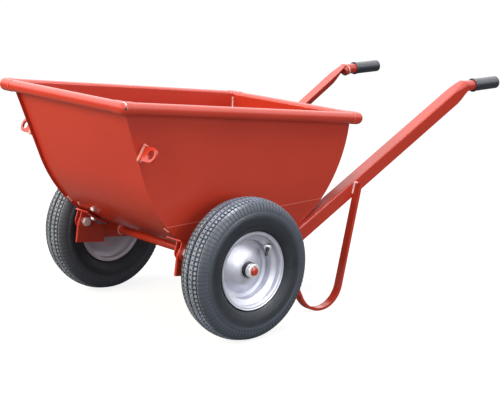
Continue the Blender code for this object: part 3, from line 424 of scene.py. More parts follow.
TONE = make_tone_group()
SPECKS = make_speck_group()
GRAIN = make_grain_group()
BAND = make_band_group()


# Materials

def placed(tree, group, **values):
    """A group's node inside a material, with its inputs set by their names."""
    node = tree.nodes.new("ShaderNodeGroup")
    node.node_tree = group
    for label, value in values.items():
        node.inputs[titled(label)].default_value = value
    return node.outputs[0]


def new_material(name, **fixed):
    """A material with a Principled shader whose even values are set on its own sockets."""
    material = bpy.data.materials.new(name)
    material.use_nodes = True
    shader = material.node_tree.nodes["Principled BSDF"]
    for label, value in fixed.items():
        shader.inputs[titled(label).replace("Ior", "IOR")].default_value = value
    return material, material.node_tree, shader


def coated(name, tones, scale, specks, grain, relief, shoulder=None, brushed=False, **fixed):
    """Drifting tones under specks, with a grained sheen and a fine relief.

    The specks are (scale, share, weight, colour), the grain (scale, low, high) and the relief
    (scale, strength, distance).
    """
    material, tree, shader = new_material(name, **fixed)
    colour = placed(tree, TONE, tone=(*tones[0], 1), second_tone=(*tones[1], 1), scale=scale)
    # A band round a wheel's shoulder in a tone of its own is a painted sheen
    if shoulder:
        band = placed(tree, BAND, inner=SHOULDER_SHEEN_BAND[0], outer=SHOULDER_SHEEN_BAND[1])
        colour = mixed(tree, band, colour, (*shoulder, 1))
    speck_scale, share, weight, speck_colour = specks
    if share:
        mask = placed(tree, SPECKS, scale=speck_scale, share=share)
        colour = mixed(tree, maths(tree, "MULTIPLY", mask, weight), colour, (*speck_colour, 1))
    sheen = placed(tree, GRAIN, scale=grain[0], low=grain[1], high=grain[2])
    fine = object_noise(tree, relief[0], 3.0) if brushed else placed(tree, GRAIN, scale=relief[0])
    bump = tree.nodes.new("ShaderNodeBump")
    feed(tree, bump.inputs["Height"], fine)
    bump.inputs["Strength"].default_value, bump.inputs["Distance"].default_value = relief[1:]
    fed = {"Base Color": colour, "Roughness": sheen, "Normal": bump.outputs["Normal"]}
    for label, source in fed.items():
        feed(tree, shader.inputs[label], source)
    return material


def paint(name, tone, second, roughness, chips=0.0):
    """Gloss enamel on steel: drifting tone, orange peel, and on edges a few worn spots."""
    chipped = (260.0, chips, 1.0, (0.30, 0.22, 0.20))
    grain = (18.0, roughness - 0.03, roughness + 0.04)
    peel = (330.0, 0.05, 0.0003)
    return coated(name, (tone, second), 3.5, chipped, grain, peel, specular_ior_level=0.5)


def metal(name, tone, second, roughness, spots, metallic=1.0):
    """Bright metal with drifting tone, fine brushing and dull spots."""
    dull = (180.0, spots, 0.6, (0.20, 0.19, 0.19))
    grain = (60.0, roughness - 0.06, roughness + 0.1)
    brush = (240.0, 0.12, 0.0003)
    return coated(name, (tone, second), 22.0, dull, grain, brush, brushed=True, metallic=metallic)


def rubber(name, tone, second, roughness, dusty, shoulder=None, shine=0.32):
    """Dark rubber with a fine pebbled skin and a little dust. A tyre's shoulder band can be paler, a
    painted sheen.
    """
    dust = (210.0, dusty, 0.5, (0.16, 0.16, 0.165))
    grain = (45.0, roughness - 0.08, roughness + 0.08)
    pebble = (900.0, 0.22, 0.0004)
    return coated(name, (tone, second), 14.0, dust, grain, pebble, shoulder, specular_ior_level=shine)


PAINT = paint("red_enamel", (0.47, 0.040, 0.020), (0.43, 0.035, 0.018), 0.22)
# Enamel for bevelled edges and the side panels' crease: its paler tone is a painted highlight along
# them, its specks are real worn spots
EDGE_WEAR_AND_HIGHLIGHT = paint("red_enamel_edges_wear_and_highlight", (0.64, 0.17, 0.125), (0.54, 0.10, 0.07), 0.22, 0.10)
# Weld beads: the near-white pink of their tone is a painted highlight on the ripples, over the red
# enamel's tone
WELD_PAINTED_HIGHLIGHT = paint("weld_bead_painted_highlight", (0.95, 0.66, 0.62), (0.66, 0.20, 0.15), 0.18)
ZINC = metal("zinc_plating", (0.95, 0.95, 0.96), (0.84, 0.84, 0.87), 0.32, 0.06, 0.7)
SILVER = metal("silver_lacquer", (0.57, 0.58, 0.65), (0.52, 0.53, 0.60), 0.42, 0.02, 0.6)
BEARING = metal("bearing_steel", (0.52, 0.52, 0.54), (0.44, 0.44, 0.47), 0.22, 0.08)
# The tyre's paler shoulder band is a painted sheen; the specks are real dust
TYRE = rubber(
    "tyre_rubber", (0.022, 0.026, 0.033), (0.016, 0.019, 0.025), 0.44, 0.08, (0.056, 0.065, 0.081)
)
# The tread's pale grey block tops and its mid grey ribs in the shoulder band are painted sheen; the
# specks are real dust
TREAD_DUST_AND_SHEEN = rubber(
    "tread_rubber_dust_and_painted_sheen", (0.28, 0.33, 0.41), (0.20, 0.235, 0.30), 0.34, 0.20, (0.072, 0.083, 0.105)
)
GRIP = rubber("grip_rubber", (0.020, 0.025, 0.034), (0.015, 0.019, 0.027), 0.36, 0.05, shine=0.6)
SEAL = rubber("seal_plastic", (0.012, 0.012, 0.013), (0.018, 0.018, 0.020), 0.34, 0.06)


# Shapes in general

def new_object(name, mesh):
    obj = bpy.data.objects.new(name, mesh)
    bpy.context.scene.collection.objects.link(obj)
    return obj


def mesh_from(bm, name):
    bmesh.ops.recalc_face_normals(bm, faces=bm.faces)
    mesh = bpy.data.meshes.new(name)
    bm.to_mesh(mesh)
    bm.free()
    return mesh


def applied(obj):
    """Replaces an object by a plain mesh with its modifiers and its place applied."""
    bpy.context.view_layer.update()
    graph = bpy.context.evaluated_depsgraph_get()
    mesh = bpy.data.meshes.new_from_object(obj.evaluated_get(graph))
    mesh.transform(obj.matrix_world)
    name = obj.name
    bpy.data.objects.remove(obj, do_unlink=True)
    return new_object(name, mesh)


def welded(obj):
    """Merges a mesh's doubles, so that its caps are closed."""
    bm = bmesh.new()
    bm.from_mesh(obj.data)
    bmesh.ops.remove_doubles(bm, verts=bm.verts, dist=1e-6)
    bmesh.ops.recalc_face_normals(bm, faces=bm.faces)
    bm.to_mesh(obj.data)
    bm.free()
    return obj


def cut(obj, cutter, operation="DIFFERENCE"):
    """Cuts one solid from another, or joins it, and then removes the cutter."""
    modifier = obj.modifiers.new("Cut", "BOOLEAN")
    modifier.operation = operation
    modifier.object = cutter
    modifier.solver = "EXACT"
    result = applied(obj)
    bpy.data.objects.remove(cutter, do_unlink=True)
    return result


def joined(name, objects):
    """Several loose shapes as one mesh."""
    bm = bmesh.new()
    for obj in objects:
        bm.from_mesh(obj.data)
        bpy.data.objects.remove(obj, do_unlink=True)
    return new_object(name, mesh_from(bm, name))


def moved(obj, matrix):
    """Moves a shape's own points, so that its object stays at the origin."""
    obj.data.transform(matrix)
    return obj


def dress(obj, body, materials, nodes=(), bevel=0.0, place=None):
    """Rounds a piece's edges, gives it its finish and hangs it on its body in the CAD node's place."""
    name = obj.name
    while len(obj.data.materials) < len(materials):
        obj.data.materials.append(None)
    for slot, material in enumerate(materials):
        obj.data.materials[slot] = material
    obj.data.shade_smooth()
    obj.data.set_sharp_from_angle(angle=SHARP_ANGLE)
    if bevel:
        edges = obj.modifiers.new("Edges", "BEVEL")
        edges.width = bevel
        edges.segments = 2
        edges.limit_method = "ANGLE"
        edges.angle_limit = SHARP_ANGLE
        # The bevel faces take the last material; on painted pieces that is the paler edge enamel, a
        # painted highlight along the edges
        edges.material = len(materials) - 1
        even = obj.modifiers.new("Even shading", "WEIGHTED_NORMAL")
        even.keep_sharp = False
    piece = applied(obj)
    if place:
        piece.data.transform(place)
    piece.data.transform(TO_ROW)
    piece.name = name
    piece.data.name = name
    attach(piece, body)
    if nodes:
        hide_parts(*nodes)
    return piece


def other_side(obj, name):
    """The same raw shape on the right-hand side."""
    mesh = obj.data.copy()
    mesh.transform(TO_RIGHT)
    mesh.flip_normals()
    return new_object(name, mesh)


def dress_pair(obj, body, materials, bevel=0.0):
    """Dresses a left piece and its mirror image, each in place of its own CAD node."""
    stem = obj.name
    right = other_side(obj, stem + "_right")
    obj.name = stem + "_left"
    for piece, side in ((obj, "_left"), (right, "_right")):
        dress(piece, body, materials, [stem + side], bevel)


def arc(centre, radius, start, end, step=FINE_ARC):
    steps = max(2, ceil(abs(end - start) / step))
    angles = [start + (end - start) * i / steps for i in range(steps + 1)]
    return [(centre[0] + radius * cos(a), centre[1] + radius * sin(a)) for a in angles]


def circle(centre, radius, steps=36):
    return arc(centre, radius, 0, 2 * pi, 2 * pi / steps)[:-1]


def both_halves(half):
    """An outline of (place along X, radius) with its mirror image, without its middle point twice."""
    return half + [(-along, radius) for along, radius in half[-2::-1]]


def offset_path(points, distance):
    """An open path shifted to its left by a distance, with mitred corners."""
    shifted = []
    for i, point in enumerate(points):
        here = Vector(point)
        last = Vector(points[min(i + 1, len(points) - 1)]) - here
        first = here - Vector(points[i - 1]) if i else last
        last = last if last.length else first
        n1 = Vector((-first.y, first.x)).normalized()
        n2 = Vector((-last.y, last.x)).normalized()
        mitre = (n1 + n2).normalized()
        shifted.append(tuple(here + mitre * (distance / mitre.dot(n1))))
    return shifted


def filleted(points, radius, steps=5):
    """An open path with its inner corners rounded."""
    route = [Vector(p) for p in points]
    result = [route[0]]
    for before, corner, after in zip(route, route[1:], route[2:]):
        a = before - corner
        b = after - corner
        half = a.angle(b) / 2
        reach = min(radius / tan(half), FILLET_SHARE * a.length, FILLET_SHARE * b.length)
        start = corner + a.normalized() * reach
        end = corner + b.normalized() * reach
        for i in range(steps + 1):
            t = i / steps
            result.append(start.lerp(corner, t).lerp(corner.lerp(end, t), t))
    result.append(route[-1])
    return [tuple(p) for p in result]


def rounded_corner(before, corner, after, radius, steps=14):
    """The points of a round bend that takes the place of a corner."""
    a = (Vector(before) - Vector(corner)).normalized()
    b = (Vector(after) - Vector(corner)).normalized()
    half = a.angle(b) / 2
    centre = Vector(corner) + (a + b).normalized() * (radius / sin(half))
    start = Vector(corner) + a * (radius / tan(half)) - centre
    end = Vector(corner) + b * (radius / tan(half)) - centre
    turn = start.angle(end)
    axis = start.cross(end).normalized()
    return [centre + Matrix.Rotation(turn * i / steps, 3, axis) @ start for i in range(steps + 1)]


def facing_place(place, facing):
    """A place whose X axis looks along a direction."""
    return Matrix.Translation(place) @ Vector(facing).to_track_quat("X", "Z").to_matrix().to_4x4()


def add_loft(bm, rings):
    """A closed body through rings of equally many points, with a flat cap at both ends."""
    rows = [[bm.verts.new(place) for place in ring] for ring in rings]
    for first, second in zip(rows, rows[1:]):
        for i, vert in enumerate(first):
            after = (i + 1) % len(first)
            bm.faces.new((vert, first[after], second[after], second[i]))
    bm.faces.new(rows[0])
    bm.faces.new(rows[-1][::-1])


def loft(name, rings):
    """One closed body as an object of its own."""
    bm = bmesh.new()
    add_loft(bm, rings)
    return new_object(name, mesh_from(bm, name))


def add_line(curve, points, radius=1.0):
    """Adds a line of straight stretches to a curve, and returns it."""
    spline = curve.splines.new("POLY")
    spline.points.add(len(points) - 1)
    for point, place in zip(spline.points, points):
        point.co = (*Vector(place).to_3d(), 1)
        point.radius = radius
    return spline


def flat_curve(name, loops, half_thickness):
    """A flat solid in the XY plane. Loops inside the first one are its holes."""
    curve = bpy.data.curves.new(name, "CURVE")
    curve.dimensions = "2D"
    curve.fill_mode = "BOTH"
    curve.extrude = half_thickness
    for loop in loops:
        add_line(curve, loop).use_cyclic_u = True
    return new_object(name, curve)


def plate(name, outline, x_low, x_high, holes=()):
    """A flat piece, outlined in the YZ plane and as thick as the span along X."""
    obj = flat_curve(name, (outline, *holes), (x_high - x_low) / 2)
    obj.rotation_euler = (pi / 2, 0, pi / 2)
    obj.location.x = (x_low + x_high) / 2
    return welded(applied(obj))


def lathe(name, profile, closed=True, steps=ROUND_STEPS):
    """A shape turned about the X axis from points of (place along X, radius)."""
    bm = bmesh.new()
    rings = []
    for along, radius in profile:
        count = steps if radius > 1e-6 else 1
        turn = [2 * pi * i / steps for i in range(count)]
        rings.append([bm.verts.new((along, radius * sin(a), radius * cos(a))) for a in turn])
    followers = rings[1:] + rings[:1] if closed else rings[1:]
    for first, second in zip(rings, followers):
        for i in range(steps):
            after = (i + 1) % steps
            corners = [first[i % len(first)], first[after % len(first)]]
            corners += [second[after % len(second)], second[i % len(second)]]
            bm.faces.new(dict.fromkeys(corners))
    return new_object(name, mesh_from(bm, name))


def disc(name, radius, far_radius, start, end, steps):
    """A round solid between two places along X, with a radius at each."""
    return lathe(name, [(start, 0), (start, radius), (end, far_radius), (end, 0)], False, steps)


def tube(name, points, radius, sides=TUBE_SIDES):
    """A round tube or bar along a route, closed at its ends."""
    curve = bpy.data.curves.new(name, "CURVE")
    curve.dimensions = "3D"
    curve.bevel_depth = radius
    curve.bevel_resolution = (sides - 4) // 2
    curve.use_fill_caps = True
    add_line(curve, points)
    return welded(applied(new_object(name, curve)))


# Geometry node trees for what repeats

def tree_with(name, **inputs):
    """A geometry node tree with named inputs, and its two end nodes."""
    tree = bpy.data.node_groups.new(name, "GeometryNodeTree")
    sockets = [("INPUT", "Geometry", "Geometry"), *(("INPUT", *pair) for pair in inputs.items())]
    sockets += [("INPUT", "Material", "Material"), ("OUTPUT", "Geometry", "Geometry")]
    for way, label, kind in sockets:
        tree.interface.new_socket(name=label, in_out=way, socket_type="NodeSocket" + kind)
    return tree, *add_nodes(tree, "NodeGroupInput", "NodeGroupOutput")


def finish_tree(tree, start, end, copies):
    """Realize Instances and Set Material close each tree."""
    real, finish = add_nodes(tree, "GeometryNodeRealizeInstances", "GeometryNodeSetMaterial")
    wire(
        tree,
        (copies, "Instances", real, "Geometry"),
        (real, "Geometry", finish, "Geometry"),
        (start, "Material", finish, "Material"),
        (finish, "Geometry", end, "Geometry"),
    )
    return tree


def make_ring_tree():
    """Copies the geometry round the X axis, evenly."""
    tree, start, end = tree_with("repeat round the axle", Count="Int")
    points, index, rotation, copies = add_nodes(
        tree, "GeometryNodePoints", "GeometryNodeInputIndex", "ShaderNodeCombineXYZ",
        "GeometryNodeInstanceOnPoints",
    )
    step = maths(tree, "DIVIDE", 2 * pi, start.outputs["Count"])
    feed(tree, rotation.inputs["X"], maths(tree, "MULTIPLY", index.outputs[0], step))
    wire(
        tree,
        (start, "Count", points, "Count"),
        (points, 0, copies, "Points"),
        (start, "Geometry", copies, "Instance"),
        (rotation, 0, copies, "Rotation"),
    )
    return finish_tree(tree, start, end, copies)


def make_bead_tree():
    """Lays small overlapping ripples along a curve as wide as its radius, as a hand-laid weld has."""
    tree, start, end = tree_with("weld ripples", Pitch="Float", Seed="Int")
    points, ripple, smooth, copies = add_nodes(
        tree, "GeometryNodeCurveToPoints", "GeometryNodeMeshUVSphere", "GeometryNodeSetShadeSmooth",
        "GeometryNodeInstanceOnPoints",
    )
    size, width, scaled = add_nodes(
        tree, "FunctionNodeRandomValue", "GeometryNodeInputRadius", "ShaderNodeVectorMath"
    )
    points.mode = "LENGTH"
    ripple.inputs["Segments"].default_value = 8
    ripple.inputs["Rings"].default_value = 5
    size.data_type = "FLOAT_VECTOR"
    size.inputs["Min"].default_value = RIPPLE_LEAST
    size.inputs["Max"].default_value = RIPPLE_MOST
    scaled.operation = "SCALE"
    wire(
        tree,
        (start, "Geometry", points, "Curve"),
        (start, "Pitch", points, "Length"),
        (start, "Seed", size, "Seed"),
        (size, "Value", scaled, 0),
        (width, 0, scaled, "Scale"),
        (points, "Points", copies, "Points"),
        (points, "Rotation", copies, "Rotation"),
        (ripple, "Mesh", smooth, "Geometry"),
        (smooth, "Geometry", copies, "Instance"),
        (scaled, "Vector", copies, "Scale"),
    )
    return finish_tree(tree, start, end, copies)


def grown(obj, tree, **values):
    """Runs a geometry tree on an object and keeps the plain mesh that it makes."""
    modifier = obj.modifiers.new(tree.name, "NODES")
    modifier.node_group = tree
    sockets = {s.name: s.identifier for s in tree.interface.items_tree if s.in_out == "INPUT"}
    for label, value in values.items():
        modifier[sockets[label.title()]] = value
    return applied(obj)


RING = make_ring_tree()
BEAD = make_bead_tree()
BOLT_HOLE = circle(PIVOT, BOLT_DIAMETER / 2 + BOLT_CLEARANCE)


def lay_welds(name, body, routes, seed):
    """One body's weld beads: each route is (points on the left side, width), and runs on both sides."""
    curve = bpy.data.curves.new(name, "CURVE")
    curve.dimensions = "3D"
    for points, width in routes:
        for side in (1, -1):
            add_line(curve, [(side * x, y, z) for x, y, z in points], width)
    beads = grown(new_object(name, curve), BEAD, pitch=RIPPLE_PITCH, seed=seed, material=WELD_PAINTED_HIGHLIGHT)
    dress(beads, body, [WELD_PAINTED_HIGHLIGHT])


# The tub

def side_reach(z):
    """How far out the tub's side panel stands at a height."""
    if z >= CREASE_HEIGHT:
        return TUB_HALF_WIDTH + (z - CREASE_HEIGHT) * tan(SIDE_LEAN)
    return TUB_HALF_WIDTH - (CREASE_HEIGHT - z) * tan(SIDE_TUCK)


def front_line_point(bend, z):
    """The point at a height on the straight front that runs on from a bend (radius, centre height)."""
    radius, centre_z = bend
    y0 = TUB_BACK - radius * cos(FRONT_LEAN)
    z0 = centre_z - radius * sin(FRONT_LEAN)
    return (y0 - (z - z0) * tan(FRONT_LEAN), z)


def tub_section(bend, front_top, rear_top):
    """The tub's outside from the top of its straight front, under it, to the top of its rear."""
    radius, centre_z = bend
    rear = asin((centre_z - rear_top) / radius)
    round_part = arc((TUB_BACK, centre_z), radius, pi + FRONT_LEAN, 2 * pi - rear)
    return [front_line_point(bend, front_top), *round_part]


def lip_corner(front, rise, ahead, behind, aside):
    """A left corner round the tub's lip, at a height over its rim's, and that far off the sheets."""
    z = (RIM_FRONT_HEIGHT if front else RIM_REAR_HEIGHT) + rise
    radius, centre_z = WRAP_ARC
    if front:
        y = front_line_point(WRAP_ARC, z)[0] - ahead
    else:
        y = TUB_BACK + sqrt((radius + behind) ** 2 - (centre_z - z) ** 2)
    return Vector((side_reach(z) + aside, y, z))


def rim_corner(front):
    """Where the centre lines of the rim tubes meet on the left side, outside both sheets."""
    ahead = RIM_OUTSET / cos(FRONT_LEAN)
    return lip_corner(front, 0.0, ahead, RIM_OUTSET, RIM_OUTSET / cos(SIDE_LEAN))


def panel_top(y):
    """Height of the side panel's top edge, a little over the middle of the left rim tube."""
    front = rim_corner(True)
    rear = rim_corner(False)
    along = (y - front.y) / (rear.y - front.y)
    return front.lerp(rear, along).z + SHEET_OVER_TUBE


def wrap_reach(z):
    """Half the width of the bent sheet at a height, just inside the side panels."""
    return side_reach(z) - SHEET / cos(SIDE_LEAN) - GAP


def sheet_from(bm, name):
    """An open surface thickened inwards to the tub's sheet."""
    mesh = bpy.data.meshes.new(name)
    bm.to_mesh(mesh)
    bm.free()
    obj = new_object(name, mesh)
    solidify = obj.modifiers.new("Sheet", "SOLIDIFY")
    solidify.thickness = SHEET
    solidify.offset = -1
    solidify.use_even_offset = True
    return applied(obj)


def make_wrap():
    """One bent sheet makes the tub's front, bottom and rear."""
    bm = bmesh.new()
    rows = []
    tops = (RIM_FRONT_HEIGHT + SHEET_OVER_TUBE, RIM_REAR_HEIGHT + SHEET_OVER_TUBE)
    for y, z in tub_section(WRAP_ARC, *tops):
        reach = wrap_reach(z)
        rows.append([bm.verts.new((x, y, z)) for x in (-reach, 0, reach)])
    for first, second in zip(rows, rows[1:]):
        bm.faces.new((first[0], second[0], second[1], first[1]))
        bm.faces.new((first[1], second[1], second[2], first[2]))
    return sheet_from(bm, "tub_wrap")


def make_side_panel():
    """A flat side with a fold at its crease, whose bend takes the paler edge enamel, a painted highlight
    along the fold.
    """
    front_y = front_line_point(PANEL_ARC, RIM_FRONT_HEIGHT)[0]
    outline = tub_section(PANEL_ARC, panel_top(front_y), panel_top(TUB_BACK + TUB_RADIUS))
    upper_front = [p for p in outline if p[1] > CREASE_HEIGHT and p[0] < TUB_BACK]
    lower = [p for p in outline if p[1] <= CREASE_HEIGHT]
    upper_rear = [p for p in outline if p[1] > CREASE_HEIGHT and p[0] > TUB_BACK]
    half_chord = sqrt(TUB_RADIUS**2 - (TUB_CENTRE_Z - CREASE_HEIGHT) ** 2)
    ends = [(TUB_BACK - half_chord, CREASE_HEIGHT), (TUB_BACK + half_chord, CREASE_HEIGHT)]
    bm = bmesh.new()
    rows = (ends, lower, upper_front, upper_rear)
    fold, low, front, rear = ([bm.verts.new((side_reach(z), y, z)) for y, z in row] for row in rows)
    bm.faces.new([fold[0], *low, fold[1]])
    bm.faces.new([*front, fold[0], fold[1], *rear])
    crease = bm.edges.get((fold[0], fold[1]))
    bend = bmesh.ops.bevel(
        bm, geom=[crease], offset=PANEL_BEND, segments=3, affect="EDGES", profile=0.5
    )
    # The crease's bend faces take the edge enamel, a painted highlight along the fold
    for face in bend["faces"]:
        face.material_index = 1
    return sheet_from(bm, "side_panel")


def elbow(name, front, radius, sides=TUBE_SIDES):
    """A corner piece: two short sleeves that meet in a tight round, mitred on its inside."""
    corner = rim_corner(front)
    across = Vector((1, 0, 0))
    along = (rim_corner(not front) - corner).normalized()
    axis = across.cross(along).normalized()
    turn = across.angle(along)
    outward = across.cross(axis)
    start = corner - across * ELBOW_END_ARM
    end = corner + along * ELBOW_SIDE_ARM
    steps = sides // 2
    bends = [turn * i / steps for i in range(steps + 1)]
    rings = [[] for _ in range(steps + 3)]
    for out, up in circle((0, 0), radius, sides):
        rise = axis * up
        rings[0].append(start + outward * out + rise)
        mitre = corner + (outward + across * tan(turn / 2)) * out + rise
        for ring, bend in zip(rings[1:-1], bends):
            swung = corner + Matrix.Rotation(bend, 3, axis) @ outward * out + rise
            ring.append(mitre if out < 0 else swung)
        rings[-1].append(end + Matrix.Rotation(turn, 3, axis) @ outward * out + rise)
    return welded(loft(name, rings))


def make_rim():
    """Straight tubes, with a formed sleeve round each corner."""
    for front, word in ((True, "front"), (False, "rear")):
        sleeve = elbow(f"rim_elbow_{word}", front, ELBOW_DIAMETER / 2)
        dress_pair(sleeve, "tub", [PAINT, EDGE_WEAR_AND_HIGHLIGHT], bevel=ELBOW_ROUNDING)
        end = rim_corner(front) - Vector((ELBOW_END_ARM + GAP, 0, 0))
        straight = tube(f"tub_rim_{word}", [Vector((-end.x, end.y, end.z)), end], RIM_RADIUS)
        dress(straight, "tub", [PAINT], [f"rim_tube_{word}"])
    front, rear = rim_corner(True), rim_corner(False)
    run = (rear - front).normalized() * (ELBOW_SIDE_ARM + GAP)
    dress_pair(tube("rim_tube", [front + run, rear - run], RIM_RADIUS), "tub", [PAINT])


def clear_of_elbows(obj):
    """A sheet's corners make room for the sleeves."""
    for front in (True, False):
        room = elbow("elbow_room", front, ELBOW_DIAMETER / 2 + GAP, sides=12)
        right = other_side(room, "elbow_room_right")
        obj = cut(cut(obj, room), right)
    return obj


def lug_matrix():
    """Where the left lug stands: leaning back at its height."""
    turn = Matrix.Rotation(pi / 2 - LUG_BACK_LEAN, 4, "X")
    return Matrix.Translation((0, LUG_Y, LUG_HEIGHT_ABOVE_GROUND)) @ turn


def make_lug():
    """A lifting lug that stands out square from the side panel."""
    half = LUG_HEIGHT / 2
    reach = side_reach(LUG_HEIGHT_ABOVE_GROUND)
    slope = tan(SIDE_LEAN) * cos(LUG_BACK_LEAN)
    tip = (reach + LUG_REACH - half, 0)
    outline = arc(tip, half, -pi / 2, pi / 2, COARSE_ARC)
    foot = GAP / cos(SIDE_LEAN) + LUG_THICKNESS / 2 * tan(SIDE_LEAN)
    outline += [(reach + slope * half + foot, half), (reach - slope * half + foot, -half)]
    obj = flat_curve("lifting_lug", (outline, circle(tip, LUG_HOLE / 2)), LUG_THICKNESS / 2)
    obj.matrix_world = lug_matrix()
    return welded(applied(obj))


def ear_spans():
    """The two ears of a hinge bracket and the plate between them, as places along X."""
    plate_outer = RAIL_HALF_SPACING - RAIL_THICKNESS - GAP
    plate_inner = plate_outer - PLATE_THICKNESS
    inner = (plate_inner - EAR_SPACE_INNER - EAR_THICKNESS, plate_inner - EAR_SPACE_INNER)
    outer_face = RAIL_HALF_SPACING + EAR_SPACE_OUTER
    return inner, (outer_face, outer_face + EAR_THICKNESS), (plate_inner, plate_outer)


def make_hinge_bracket():
    """A saddle bent to the tub's round bottom, with two ears for the pivot bolt."""
    middle = atan2(PIVOT_Z - TUB_CENTRE_Z, PIVOT_Y - TUB_BACK)
    half = SADDLE_HALF_LENGTH / TUB_RADIUS
    top = TUB_RADIUS + GAP
    saddle = arc(TUB_CENTRE, top, middle - half, middle + half)
    saddle += arc(TUB_CENTRE, top + SADDLE_THICKNESS, middle + half, middle - half)
    inner, outer, _ = ear_spans()
    bracket = plate("hinge_bracket", saddle, inner[0] - SADDLE_INBOARD, outer[1])
    root = top + SADDLE_THICKNESS / 2
    ear = arc(TUB_CENTRE, root, middle - EAR_FOOT * half, middle + EAR_FOOT * half)
    ear += arc(PIVOT, EAR_RADIUS, middle + EAR_SWEEP, middle - EAR_SWEEP, step=COARSE_ARC)
    for span in (inner, outer):
        bracket = cut(bracket, plate("ear", ear, *span, holes=[BOLT_HOLE]), "UNION")
    return bracket


def hex_prism(name, start, length):
    """A hexagon with the bolt head's flats, round the pivot."""
    return plate(name, circle(PIVOT, BOLT_HEAD_FLATS / sqrt(3), 6), start, start + length)


def dome(start):
    """A turned solid used to round a bolt head's corners."""
    end = start + BOLT_HEAD_HEIGHT
    corner = BOLT_HEAD_FLATS / sqrt(3)
    near, far = (share * corner for share in BOLT_HEAD_FACES)
    profile = [(start - BOLT_HEAD_CROWN, 0), (start - BOLT_HEAD_CROWN, near), (start, corner)]
    profile += [(end - BOLT_HEAD_CROWN, corner), (end, far), (end, 0)]
    return moved(lathe("round_off", profile, closed=False, steps=48), TO_PIVOT)


def make_pivot_bolts():
    """Both bolts go in with their heads towards the left."""
    inner, outer, _ = ear_spans()
    radius = BOLT_DIAMETER / 2
    for word, head_face, nut_face in (("left", outer[1], inner[0]), ("right", -inner[0], -outer[1])):
        nut_start = nut_face - GAP - NUT_HEIGHT
        tail = nut_start - BOLT_TAIL
        profile = [(tail, 0), (tail, radius - BOLT_CHAMFER), (tail + BOLT_CHAMFER, radius)]
        inside_head = head_face + BOLT_HEAD_HEIGHT / 2
        profile += [(inside_head, radius), (inside_head, 0)]
        shank = moved(lathe("shank", profile, closed=False, steps=36), TO_PIVOT)
        head = hex_prism(f"hinge_bolt_{word}", head_face + GAP, BOLT_HEAD_HEIGHT)
        head = cut(cut(head, dome(head_face + GAP), "INTERSECT"), shank, "UNION")
        dress(head, "tub", [ZINC], [f"pivot_bolt_{word}"], bevel=0.0004)
        nut = hex_prism(f"hinge_nut_{word}", nut_start, NUT_HEIGHT)
        bore_span = (nut_face - 2 * NUT_HEIGHT, nut_face + NUT_HEIGHT)
        bore = plate("bore", circle(PIVOT, radius + GAP), *bore_span)
        dress(cut(nut, bore), "tub", [ZINC], [f"pivot_nut_{word}"], bevel=0.0006)


def make_vent_shade_disc():
    """A dark disc barely proud of the front sleeve: painted shade that stands for the mouth of a small
    drain hole.
    """
    mouth = disc("vent_painted_shade", VENT_RADIUS, VENT_RADIUS, *VENT_SPAN, 24)
    return moved(mouth, facing_place(VENT_PLACE, VENT_FACING))


def small_screw(x, angle, radius, outward):
    """A zinc hexagon head with a washer, standing on the tub's round bottom at an angle."""
    head = plate("small_screw", circle((0, 0), SCREW_SIZE, 6), 0.0, SCREW_HEAD)
    washer = disc("washer", *WASHER_RADII, 0, WASHER_THICKNESS, 28)
    facing = Vector((0, cos(angle), sin(angle))) * outward
    foot = (x, TUB_BACK + radius * cos(angle), WRAP_ARC[1] + radius * sin(angle))
    return moved(cut(head, washer, "UNION"), facing_place(foot, facing))


def make_bracket_screws():
    """The screws by the right hinge bracket, with their nuts inside the tub."""
    shapes = []
    for x, angle, radius in BRACKET_SCREWS:
        shapes += [small_screw(x, angle, radius, 1), small_screw(x, angle, WRAP_ARC[0] - SHEET, -1)]
    return joined("bracket_screws", shapes)


def make_seams():
    """Smooth seams that close the chink between the rim tubes and the sheets' top edges."""
    outsets = [SEAM_OUTSET] * 3
    front, rear = (lip_corner(end, SEAM_HEIGHT, *outsets) for end in (True, False))
    loop = [front, rear, TO_RIGHT @ rear, TO_RIGHT @ front]
    ends = zip(loop, loop[1:] + loop[:1])
    return joined("rim_seams", [tube("seam", pair, SEAM_RADIUS, sides=12) for pair in ends])


def tub_weld_routes():
    """Corner seams inside, stitches under the lips and by the saddles, and the lugs' feet."""
    radius, centre_z = WRAP_ARC
    tucked = radius - (SHEET + CORNER_BEAD)
    inside = tub_section((tucked, centre_z), RIM_FRONT_HEIGHT, RIM_REAR_HEIGHT)
    routes = [([(wrap_reach(z) - CORNER_BEAD, y, z) for y, z in inside], CORNER_BEAD + GAP)]
    outside = radius + STITCH_RISE
    for middle in LIP_STITCHES:
        stitch = arc((TUB_BACK, centre_z), outside, middle - LIP_STITCH, middle + LIP_STITCH)
        routes.append(([(wrap_reach(z) - STITCH_RISE, y, z) for y, z in stitch], STITCH_BEAD))
    saddle = arc((TUB_BACK, centre_z), outside, *SADDLE_STITCH)
    start, length = SADDLE_STITCH_ACROSS
    last = len(saddle) - 1
    routes.append(([(start + length * i / last, *p) for i, p in enumerate(saddle)], STITCH_BEAD))
    for face in (1, -1):
        lift = face * (LUG_THICKNESS / 2 + BEAD_STANDOFF)
        ends = [lug_matrix() @ Vector((0, up, lift)) for up in (-LUG_HEIGHT / 2, LUG_HEIGHT / 2)]
        routes.append(([(side_reach(z) + LUG_BEAD - STITCH_RISE, y, z) for _, y, z in ends], LUG_BEAD))
    return routes


